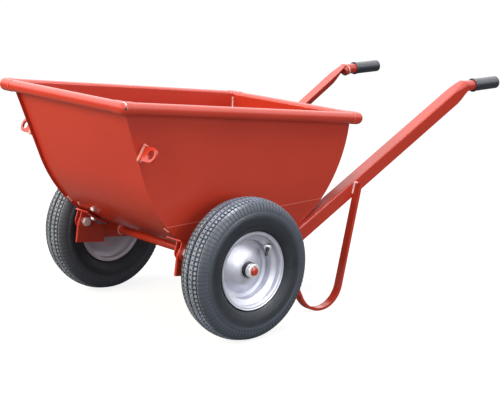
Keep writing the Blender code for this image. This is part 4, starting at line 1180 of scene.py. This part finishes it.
def make_tub():
    dress(clear_of_elbows(make_wrap()), "tub", [PAINT, EDGE_WEAR_AND_HIGHLIGHT], ["tub_wrap_sheet"], bevel=0.0004)
    dress_pair(clear_of_elbows(make_side_panel()), "tub", [PAINT, EDGE_WEAR_AND_HIGHLIGHT], bevel=0.0005)
    make_rim()
    dress(make_seams(), "tub", [PAINT])
    dress_pair(make_lug(), "tub", [PAINT, EDGE_WEAR_AND_HIGHLIGHT], bevel=EDGE_ROUNDING)
    dress_pair(make_hinge_bracket(), "tub", [PAINT, EDGE_WEAR_AND_HIGHLIGHT], bevel=0.0006)
    make_pivot_bolts()
    dress(make_bracket_screws(), "tub", [ZINC], bevel=0.0003)
    dress(make_vent_shade_disc(), "tub", [SEAL])
    lay_welds("tub_welds", "tub", tub_weld_routes(), TUB_WELD_SEED)


# The frame

def rail_top(y):
    """Height of the rail's top edge: it bears on the tub's arc behind the bend."""
    seat = TUB_RADIUS + GAP
    y0 = TUB_BACK + seat * sin(RAIL_RISE)
    z0 = TUB_CENTRE_Z - seat * cos(RAIL_RISE)
    return z0 + (y - y0) * tan(RAIL_RISE)


def bend_y():
    """Where the rising rail meets its front stretch."""
    front_height = AXLE_Z + RAIL_OVER_AXLE
    return (front_height - rail_top(0)) / (tan(RAIL_RISE) + tan(REST_TILT))


def rail_reach(y):
    """Place along X of the rail's outer face, which toes out behind the bend."""
    return RAIL_HALF_SPACING + tan(RAIL_TOE_OUT) * max(0, y - bend_y())


def angle_section(corner_radius, top, side):
    """The rail's angle section as (inward, down) from its outer top corner."""
    t = RAIL_THICKNESS
    middle = (corner_radius, corner_radius)
    outer = arc(middle, corner_radius, -pi / 2, -pi, RAIL_CORNER_ARC)
    inner = arc(middle, corner_radius - t, pi, 1.5 * pi, RAIL_CORNER_ARC)
    return [(top, 0), *outer, (0, side), (t, side), *inner, (top, t)]


def formed_section(share):
    """Corner radius and flanges of the formed end: the top keeps its width and ends in a round."""
    eased = share * share * (3 - 2 * share)
    corner = RAIL_CORNER + (FORMED_CORNER - RAIL_CORNER) * eased
    top = FORMED_TOP + (RAIL_FLANGE - FORMED_TOP) * sqrt(1 - share * share)
    return corner, top, RAIL_FLANGE + (FORMED_SIDE - RAIL_FLANGE) * eased


def make_rail():
    """A steel angle: bent over the axle, straight to the rear, its end formed round the grip pipe."""
    bend = bend_y()
    formed_from = RAIL_REAR_END - RAIL_FORMED_LENGTH * cos(RAIL_RISE)
    front_z = rail_top(bend) + (bend - RAIL_FRONT_END) * tan(REST_TILT)
    plain = (RAIL_CORNER, RAIL_FLANGE, RAIL_FLANGE)
    stations = [(RAIL_FRONT_END, front_z, -REST_TILT, plain)]
    stations += [(bend, rail_top(bend), (RAIL_RISE - REST_TILT) / 2, plain)]
    for i in range(FORMED_STEPS + 1):
        share = sin(pi / 2 * i / FORMED_STEPS)
        y = formed_from + (RAIL_REAR_END - formed_from) * share
        stations.append((y, rail_top(y), RAIL_RISE, formed_section(share)))
    mitre = 1 / cos((RAIL_RISE + REST_TILT) / 2)
    rings = []
    for y, z, angle, section in stations:
        down = Vector((0, sin(angle), -cos(angle)))
        stretch = mitre if y == bend else 1
        corner = Vector((rail_reach(y), y, z))
        rings.append([corner - Vector((inward, 0, 0)) + down * below * stretch
                      for inward, below in angle_section(*section)])
    rail = loft("handle_rail", rings)
    front, low, high = 2 * RAIL_FRONT_END, AXLE_Z - RAIL_FLANGE, AXLE_Z + 3 * RAIL_FLANGE
    sawn = [(front, low), (bend, low), (bend, high), (front, high)]
    inner = RAIL_HALF_SPACING - 2 * RAIL_FLANGE
    rail = cut(rail, plate("flange_cut", sawn, inner, RAIL_HALF_SPACING - RAIL_THICKNESS))
    hole = circle((0, AXLE_Z), AXLE_RADIUS + GAP)
    inner = RAIL_HALF_SPACING - 2 * RAIL_THICKNESS
    return cut(rail, plate("axle_hole", hole, inner, RAIL_HALF_SPACING + RAIL_THICKNESS))


def pipe_route():
    """The grip pipe lies in the rail's corner, then bends level where the rail ends."""
    down = Vector((0, sin(RAIL_RISE), -cos(RAIL_RISE))) * PIPE_OFFSET
    shift = Vector((-PIPE_OFFSET, 0, 0)) + down
    lap_y = RAIL_REAR_END - PIPE_LAP * cos(RAIL_RISE)
    start = Vector((rail_reach(lap_y), lap_y, rail_top(lap_y))) + shift
    corner = Vector((rail_reach(RAIL_REAR_END), RAIL_REAR_END, rail_top(RAIL_REAR_END))) + shift
    end = Vector((corner.x, GRIP_START + GRIP_LENGTH - GRIP_END_WALL - GAP, corner.z))
    return [start, *rounded_corner(start, corner, end, PIPE_BEND_RADIUS), end]


def make_hand_grip():
    """A rubber sleeve with a rounded mouth flange and a domed end."""
    outer = GRIP_DIAMETER / 2
    bore = PIPE_DIAMETER / 2 + GAP
    flange = GRIP_FLANGE_DIAMETER / 2
    wall = GRIP_LENGTH - GRIP_END_WALL
    tip = GRIP_LENGTH + GRIP_NUB
    skin = [(0, bore), (0, flange), (GRIP_FLANGE_WIDTH, flange)]
    skin += [(GRIP_FLANGE_WIDTH + GRIP_FLANGE_SLOPE, outer), (GRIP_LENGTH, outer)]
    skin += [(GRIP_LENGTH, GRIP_NUB), (tip, GRIP_NUB / 2), (tip, 0)]
    profile = [(wall, 0), (wall, bore), *filleted(skin, GRIP_ROUNDING)]
    end = pipe_route()[-1]
    place = Matrix.Translation((end.x, GRIP_START, end.z)) @ Matrix.Rotation(pi / 2, 4, "Z")
    return moved(lathe("hand_grip", profile, closed=False, steps=64), place)


def make_pivot_plate():
    """The frame's plate that sits between the ears and carries the pivot bolt."""
    down = Vector((-sin(REST_TILT), -cos(REST_TILT)))
    back = Vector((cos(REST_TILT), -sin(REST_TILT)))
    pivot = Vector(PIVOT)
    front = pivot - back * PLATE_FRONT_REACH
    front_low = front + down * PLATE_DEPTH
    rear_low = front_low + back * PLATE_LENGTH
    front_high = front + down * PLATE_EYE_RADIUS / 2
    rear_high = rear_low - down * PLATE_BACK_HEIGHT
    slant = pivot + back * 2 * PLATE_EYE_RADIUS
    outline = [tuple(p) for p in (front_high, front_low, rear_low, rear_high, slant)]
    outline += arc(PIVOT, PLATE_EYE_RADIUS, *PLATE_EYE_ARC)
    return plate("pivot_plate", outline, *ear_spans()[2], holes=[BOLT_HOLE])


def stand_path():
    """The outer line of the stand, from its front top round the ground to its rear top."""
    floor_radius = STAND_RADIUS + STAND_BAR_THICKNESS
    centre = (STAND_Y, floor_radius)
    front = pi + STAND_FRONT_LEAN
    rear = 2 * pi - STAND_REAR_LEAN
    bend = arc(centre, floor_radius, front, 1.5 * pi)
    bend += arc(centre, floor_radius, 1.5 * pi, rear)[1:]
    front_up = (STAND_FRONT_HEIGHT - bend[0][1]) * tan(STAND_FRONT_LEAN)
    rear_up = (STAND_REAR_HEIGHT - bend[-1][1]) * tan(STAND_REAR_LEAN)
    start = (bend[0][0] - front_up, STAND_FRONT_HEIGHT)
    return [start, *bend, (bend[-1][0] + rear_up, STAND_REAR_HEIGHT)]


def make_stand():
    """A flat bar bent into a loop, against the rail's outer face at both ends."""
    path = stand_path()
    outline = path + offset_path(path, STAND_BAR_THICKNESS)[::-1]
    low = RAIL_HALF_SPACING + GAP
    stand = plate("stand_loop", outline, low, low + STAND_BAR_WIDTH)
    for vertex in stand.data.vertices:
        vertex.co.x += rail_reach(vertex.co.y) - RAIL_HALF_SPACING
    return stand


def make_axle():
    """One bar with a domed end, as the photograph shows."""
    half = TRACK / 2 + OUTER_HUB_FACE + RUNNING_GAP + COLLAR_WIDTH + AXLE_END_REACH
    end = [(half - back, AXLE_RADIUS * share) for back, share in AXLE_END]
    profile = filleted(both_halves([*end, (0, AXLE_RADIUS)]), AXLE_ROUNDING)
    return moved(lathe("wheel_axle", profile, closed=False, steps=48), TO_AXLE)


def make_axle_ring(name, start, width):
    """A ring on the axle, its outer edges chamfered."""
    bore = AXLE_RADIUS + GAP
    outer = RING_DIAMETER / 2
    end = start + width
    profile = [(start, bore), (end, bore), (end, outer - RING_CHAMFER), (end - RING_CHAMFER, outer)]
    profile += [(start + RING_CHAMFER, outer), (start, outer - RING_CHAMFER)]
    return moved(lathe(name, profile, steps=64), TO_AXLE)


def make_tie():
    """The tube across the frame, under the rails' top flanges."""
    z = rail_top(TIE_Y) - (RAIL_THICKNESS + GAP + TIE_DIAMETER / 2) / cos(RAIL_RISE)
    reach = rail_reach(TIE_Y - TIE_DIAMETER / 2) - RAIL_THICKNESS - GAP
    return tube("tie_tube", [(-reach, TIE_Y, z), (reach, TIE_Y, z)], TIE_DIAMETER / 2)


def beside_rail(points):
    """Points of the YZ plane as a route along the rail's outer face, with its bead's width."""
    return [(rail_reach(y) + STAND_BEAD_OUT, y, z) for y, z in points], STAND_BEAD


def frame_weld_routes():
    """Beads up the stand's legs, round the axle at the rails, and round the grip pipes."""
    routes = []
    path = [Vector(p) for p in stand_path()]
    for top, below in ((path[-1], path[-2]), (path[0], path[1])):
        run = (below - top).normalized()
        across = Vector((run.y, -run.x)) * (-1 if top is path[0] else 1)
        for offset in (-BEAD_STANDOFF, STAND_BAR_THICKNESS + BEAD_STANDOFF):
            start = top + across * offset
            routes.append(beside_rail((start, start + run * STAND_WELD)))
        start = top - run * BEAD_STANDOFF
        routes.append(beside_rail((start, start + across * STAND_BAR_THICKNESS)))
    ring = circle((0, AXLE_Z), AXLE_RADIUS + BEAD_STANDOFF, 20)
    for x in (RAIL_HALF_SPACING + AXLE_BEAD_OUT, RAIL_HALF_SPACING - RAIL_THICKNESS - AXLE_BEAD_OUT):
        routes.append(([(x, *p) for p in [*ring, ring[0]]], STAND_BEAD))
    route = pipe_route()
    middle = len(route) // 2
    turned = (route[middle + 1] - route[middle - 1]).to_track_quat("X", "Z")
    ring = circle((0, 0), PIPE_DIAMETER / 2 + STITCH_RISE, 22)
    ring = [route[middle] + turned @ Vector((0, *p)) for p in ring]
    routes.append(([*ring, ring[0]], PIPE_BEAD))
    return routes


def make_frame():
    dress_pair(make_rail(), "frame", [PAINT, EDGE_WEAR_AND_HIGHLIGHT], bevel=0.0005)
    dress_pair(tube("grip_pipe", pipe_route(), PIPE_DIAMETER / 2), "frame", [PAINT, EDGE_WEAR_AND_HIGHLIGHT], bevel=0.0008)
    dress_pair(make_hand_grip(), "frame", [GRIP])
    dress_pair(make_pivot_plate(), "frame", [PAINT, EDGE_WEAR_AND_HIGHLIGHT], bevel=EDGE_ROUNDING)
    dress_pair(make_stand(), "frame", [PAINT, EDGE_WEAR_AND_HIGHLIGHT], bevel=EDGE_ROUNDING)
    dress(make_axle(), "frame", [PAINT], ["axle"])
    dress(make_tie(), "frame", [PAINT, EDGE_WEAR_AND_HIGHLIGHT], ["rail_tie_tube"], bevel=0.0008)
    inner = TRACK / 2 + INNER_HUB_FACE - RUNNING_GAP - SHOULDER_WIDTH
    shoulder = make_axle_ring("axle_shoulder", inner, SHOULDER_WIDTH)
    dress_pair(shoulder, "frame", [PAINT, EDGE_WEAR_AND_HIGHLIGHT], bevel=0.0004)
    outer = TRACK / 2 + OUTER_HUB_FACE + RUNNING_GAP
    dress_pair(make_axle_ring("set_collar", outer, COLLAR_WIDTH), "frame", [ZINC], bevel=0.0004)
    lay_welds("frame_welds", "frame", frame_weld_routes(), FRAME_WELD_SEED)


# The wheels

def flank_point(t, inset=0.0):
    """A point of the tyre's side at an angle, from the bead up to the crown's edge."""
    half = TYRE_WIDTH / 2 - inset
    low = RIM_FLANGE_RADIUS + FLANK_FOOT * RIM_FLANGE_HEIGHT
    top = WHEEL_DIAMETER / 2
    widest = (top + low) / 2
    if t < 0:
        return (TYRE_HEEL + (half - TYRE_HEEL) * cos(t), widest + (widest - low) * sin(t))
    shoulder = top - CROWN_DROP - inset
    crown_half = CROWN_WIDTH / 2
    return (crown_half + (half - crown_half) * cos(t), widest + (shoulder - widest) * sin(t))


def crown_radius(x):
    """Radius of the tread's surface at a distance from the middle plane."""
    return WHEEL_DIAMETER / 2 - CROWN_DROP * (x / (CROWN_WIDTH / 2)) ** 2


def make_tyre():
    """The casing: smooth flanks with fine rings, and a sunken bed under ribs and tread."""
    seat = RIM_SEAT_RADIUS + GAP
    toe = (TYRE_HEEL - TYRE_TOE_WIDTH, seat)
    half = [toe, (TYRE_HEEL, seat), (TYRE_HEEL, RIM_FLANGE_RADIUS)]
    t = FLANK_START
    while t < RIB_START - FLANK_STEP:
        lifts = [lift for at, lift in FLANK_RINGS if abs(at - t) < FLANK_STEP / 2]
        half.append(flank_point(t, -lifts[0] if lifts else 0.0))
        t += FLANK_STEP
    for i in range(BED_STEPS + 1):
        half.append(flank_point(RIB_START + (RIB_END - RIB_START) * i / BED_STEPS, RIB_DEPTH))
    edge = half[-1][0]
    for i in range(1, CROWN_STEPS + 1):
        x = edge * (1 - i / CROWN_STEPS)
        half.append((x, crown_radius(x) - TREAD_DEPTH))
    inside = both_halves(filleted([toe, *TYRE_INSIDE], TYRE_INSIDE_ROUNDING))
    return lathe("tyre_casing", both_halves(half) + inside[::-1][1:-1], steps=160)


def strip_block(bm, corners):
    """A tread block: an outline of (x, along the tread), from its sunken foot up to the crown."""
    rings = []
    for depth in (0.0, TREAD_DEPTH + BLOCK_FOOT):
        ring = []
        for x, along in corners:
            angle = along / (WHEEL_DIAMETER / 2)
            radius = crown_radius(x) - depth
            ring.append((x, radius * sin(angle), radius * cos(angle)))
        rings.append(ring)
    add_loft(bm, rings)


def add_rib(bm, side, half_width):
    """A rib over the shoulder, standing on the sunken bed and flush with the flank."""
    rings = []
    for i in range(RIB_STEPS + 1):
        t = RIB_START + (RIB_END - RIB_START) * i / RIB_STEPS
        taper = half_width * (RIB_TAPER + (1 - RIB_TAPER) * i / RIB_STEPS)
        sunk = RIB_DEPTH if i == 0 else 0.0
        deep = RIB_DEPTH * 2
        ring = []
        for inset, across in ((sunk, -taper), (sunk, taper), (deep, taper), (deep, -taper)):
            x, radius = flank_point(t, inset)
            ring.append((side * x, across, radius))
        rings.append(ring)
    add_loft(bm, rings)


def make_tread():
    """One pitch of the tread, repeated round the wheel by the geometry tree."""
    pitch = pi * WHEEL_DIAMETER / BLOCK_COUNT
    bm = bmesh.new()
    for side in (-1, 1):
        for row, lead in CHAIN_ROWS:
            x = side * row
            bow = side * lead * CHAIN_BOW
            outer = [(x + bow * cos(pi * t), t * pitch) for t in CHAIN_STATIONS]
            corners = [(place - CHAIN_HALF_WIDTH, along) for place, along in outer]
            corners += [(place + CHAIN_HALF_WIDTH, along) for place, along in outer[::-1]]
            strip_block(bm, corners)
        x = side * SIDE_BLOCK_PLACE
        strip_block(bm, [(x + across, along * pitch) for across, along in SIDE_BLOCK])
        add_rib(bm, side, RIB_SHARE * pitch)
    return grown(new_object("tread", mesh_from(bm, "tread")), RING, count=BLOCK_COUNT, material=TREAD_DUST_AND_SHEEN)


def make_rim_ring():
    """The pressed rim: rolled lips, flanges, bead seats and a drop well."""
    seat = RIM_SEAT_WIDTH / 2
    well = RIM_WELL_WIDTH / 2
    half = [(seat + RIM_LIP, RIM_FLANGE_RADIUS - RIM_LIP / 3), (seat + RIM_LIP / 2, RIM_FLANGE_RADIUS)]
    half += [(seat, RIM_FLANGE_RADIUS - RIM_LIP / 2), (seat, RIM_SEAT_RADIUS)]
    half += [(well + RIM_WELL_DEPTH * RIM_WELL_SLOPE, RIM_SEAT_RADIUS), (well, RIM_WELL_RADIUS)]
    path = half + [(-along, radius) for along, radius in half[::-1]]
    path = filleted(path[::-1], RIM_ROUNDING)
    return lathe("rim_ring", path + offset_path(path, -RIM_SHEET)[::-1], steps=128)


def make_disc():
    """The dished disc from the rim's well to the hub tube."""
    rim_side = RIM_WELL_RADIUS - RIM_SHEET - GAP
    hub_side = HUB_RADIUS + GAP
    span = rim_side - hub_side
    rise = DISC_CROWN_OFFSET - DISC_FOOT_OFFSET
    path = [(DISC_FOOT_OFFSET + RIM_SHEET, rim_side)]
    for i in range(DISC_STEPS + 1):
        share = i / DISC_STEPS
        along = DISC_FOOT_OFFSET + rise * sin(share * pi / 2)
        path.append((along, rim_side - (DISC_FOOT_SHARE + (1 - DISC_FOOT_SHARE) * share) * span))
    return lathe("rim_disc", path + offset_path(path, RIM_SHEET)[::-1], steps=128)


def make_hub():
    profile = [(HUB_INNER_END, HUB_BORE), (HUB_OUTER_END, HUB_BORE)]
    profile += [(HUB_OUTER_END, HUB_RADIUS), (HUB_INNER_END, HUB_RADIUS)]
    return lathe("hub_barrel", profile, steps=64)


def make_seal(end, inward, name):
    """A dust seal: a rounded ring with a lip against the hub's end."""
    pocket = HUB_BORE - GAP
    shaft = AXLE_RADIUS + GAP
    face = end - inward * SEAL_WIDTH
    seat = end - inward * GAP
    plug = end + inward * (SEAL_LIP - GAP)
    outer = [(face, shaft), (face, HUB_RADIUS - SEAL_CHAMFER)]
    outer += [(face + inward * 2 * SEAL_CHAMFER, HUB_RADIUS), (seat, HUB_RADIUS)]
    profile = filleted(outer, SEAL_ROUNDING) + [(seat, pocket), (plug, pocket), (plug, shaft)]
    return lathe(name, profile, steps=64)


def valve_place():
    """Where the valve stands: through the rim's slope, leaning towards the open side."""
    back = Matrix.Translation((-VALVE_FOOT, 0, 0))
    lean = Matrix.Rotation(pi / 2 - VALVE_TILT, 4, "Y")
    seat = Matrix.Translation((VALVE_OFFSET, 0, (RIM_SEAT_RADIUS + RIM_WELL_RADIUS) / 2))
    return Matrix.Rotation(-VALVE_TURN, 4, "X") @ seat @ lean @ back


def make_valve():
    """The valve: a rubber stem that narrows in steps to its cap."""
    radius = VALVE_DIAMETER / 2
    neck = VALVE_LENGTH * VALVE_NECK_PLACE
    waist = radius * VALVE_WAIST
    tip = radius * VALVE_TIP
    skin = [(0, 0), (0, radius), (neck - 4 * VALVE_STEP, radius), (neck - 3 * VALVE_STEP, waist)]
    skin += [(neck, waist), (neck + VALVE_STEP, tip), (VALVE_LENGTH, tip), (VALVE_LENGTH, 0)]
    stem = lathe("valve_stem", filleted(skin, VALVE_STEP), closed=False, steps=32)
    return moved(stem, valve_place())


def make_valve_nut():
    """The bright nut and its ring on the valve's stem."""
    bore = VALVE_DIAMETER / 2 + GAP
    start = VALVE_FOOT + VALVE_NUT_PLACE
    step, end = start + VALVE_RING_WIDTH, start + VALVE_NUT_END
    ring, nut = bore + VALVE_RING_WALL, bore + VALVE_NUT_WALL
    profile = [(start, bore), (start, ring), (step, ring), (step, nut), (end, nut), (end, bore)]
    return moved(lathe("valve_nut", profile, steps=24), valve_place())


def make_wheels():
    """The pieces of one wheel, once for each side of the cart."""
    shapes = [
        (make_tyre(), [TYRE], "tyre", 0.0),
        (make_tread(), [TREAD_DUST_AND_SHEEN], None, 0.0),
        (make_rim_ring(), [SILVER], "wheel_rim", 0.0),
        (make_disc(), [SILVER], "wheel_disc", 0.0),
        (make_hub(), [SILVER], "hub_tube", 0.0005),
        (make_seal(HUB_OUTER_END, -1, "seal_outer"), [SEAL], "hub_seal_outer", 0.0),
        (make_seal(HUB_INNER_END, 1, "seal_inner"), [SEAL], "hub_seal_inner", 0.0),
        (make_valve(), [SEAL], "valve", 0.0),
        (make_valve_nut(), [ZINC], None, 0.0),
    ]
    for obj, materials, node, bevel in shapes:
        copy = new_object(obj.name + "_right", obj.data.copy())
        obj.name = obj.name + "_left"
        for side, piece, place in (("left", obj, LEFT_WHEEL), ("right", copy, RIGHT_WHEEL)):
            nodes = [f"{node}_{side}"] if node else []
            dress(piece, f"wheel_{side}", materials, nodes, bevel, place)


# Carried-over nodes, stage, light and camera

def finish_nodes():
    """The CAD nodes that stay get the same finishes as their neighbours."""
    for name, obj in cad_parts.items():
        material = BEARING if name.startswith("bearing") else TYRE
        obj.data.materials.clear()
        obj.data.materials.append(material)


def make_floor():
    """White to the camera, with the cart's soft shadow, and a mid grey to everything else."""
    bm = bmesh.new()
    bmesh.ops.create_grid(bm, x_segments=1, y_segments=1, size=FLOOR_HALF_SIZE)
    floor = new_object("floor", mesh_from(bm, "floor"))
    material, tree, shader = new_material("pale_floor", roughness=0.95, specular_ior_level=0.0)
    path, white, blend = add_nodes(
        tree, "ShaderNodeLightPath", "ShaderNodeEmission", "ShaderNodeMixShader"
    )
    seen = path.outputs["Is Camera Ray"]
    colour = mixed(tree, seen, (0.16, 0.16, 0.16, 1), (0.96, 0.96, 0.96, 1))
    feed(tree, shader.inputs["Base Color"], colour)
    feed(tree, blend.inputs["Fac"], maths(tree, "MULTIPLY", seen, FLOOR_GLOW_SHARE))
    white.inputs["Strength"].default_value = FLOOR_GLOW
    output = tree.nodes["Material Output"]
    wire(
        tree,
        (shader, "BSDF", blend, 1),
        (white, "Emission", blend, 2),
        (blend, "Shader", output, "Surface"),
    )
    floor.data.materials.append(material)


def make_world():
    """A pale studio: plain white to the camera, brighter overhead than at the horizon in reflections."""
    world = bpy.data.worlds.new("studio")
    bpy.context.scene.world = world
    world.use_nodes = True
    tree = world.node_tree
    path, place, split = add_nodes(
        tree, "ShaderNodeLightPath", "ShaderNodeTexCoord", "ShaderNodeSeparateXYZ"
    )
    wire(tree, (place, "Generated", split, "Vector"))
    height, sheen = (ramped(tree, split.outputs["Z"], *span) for span in ((0.0, 0.75), (0.02, 0.34)))
    soft = mixed(tree, height, (0.42, 0.43, 0.46, 1), (0.64, 0.66, 0.70, 1))
    mirror = mixed(tree, sheen, (0.20, 0.21, 0.24, 1), (2.6, 2.6, 2.6, 1))
    colour = mixed(tree, path.outputs["Is Glossy Ray"], soft, mirror)
    colour = mixed(tree, path.outputs["Is Camera Ray"], colour, (1.0, 1.0, 1.0, 1))
    feed(tree, tree.nodes["Background"].inputs["Color"], colour)


def look_along(obj, place, direction):
    obj.location = place
    obj.rotation_euler = Vector(direction).to_track_quat("-Z", "Y").to_euler()
    bpy.context.scene.collection.objects.link(obj)


def add_softbox(name, place, target, size, power, colour=(1, 1, 1), diffuse=True, glossy=True):
    """A rectangular lamp, which can be kept out of what diffuse or glossy rays see."""
    lamp = bpy.data.lights.new(name, "AREA")
    lamp.color = colour
    lamp.shape = "RECTANGLE"
    lamp.size, lamp.size_y = size
    lamp.energy = power
    obj = bpy.data.objects.new(name, lamp)
    obj.visible_diffuse = diffuse
    obj.visible_glossy = glossy
    look_along(obj, place, Vector(target) - Vector(place))


def add_camera():
    """The photograph's viewing angle, worked out from the cart's own points in it."""
    lens = bpy.data.cameras.new("camera")
    lens.sensor_width = 36
    lens.lens = CAMERA_LENS
    camera = bpy.data.objects.new("camera", lens)
    look_along(camera, TO_ROW @ Vector(CAMERA_PLACE), CAMERA_FACING)
    bpy.context.scene.camera = camera


def add_stage():
    make_floor()
    make_world()
    warm = (1.0, 0.80, 0.52)
    add_softbox("overhead", (0.6, -0.3, 2.9), (0, -0.1, 0.4), (0.7, 2.8), 62)
    add_softbox("front", (-0.8, -3.3, 1.9), (0, -0.4, 0.4), (1.8, 1.4), 124, warm, glossy=False)
    add_softbox("side", (3.4, 0.2, 1.05), (0, 0, 0.4), (1.8, 1.4), 39)
    add_softbox("fill", (1.7, -3.0, 0.6), (0.1, 0.1, 0.25), (1.4, 1.0), 15, glossy=False)
    add_softbox("strip", (0.2, -0.1, 2.3), (0, -0.1, 0.4), (0.22, 2.6), 90, diffuse=False)
    add_camera()
    bpy.context.scene.view_settings.view_transform = "Standard"


make_tub()
make_frame()
make_wheels()
finish_nodes()
add_stage()
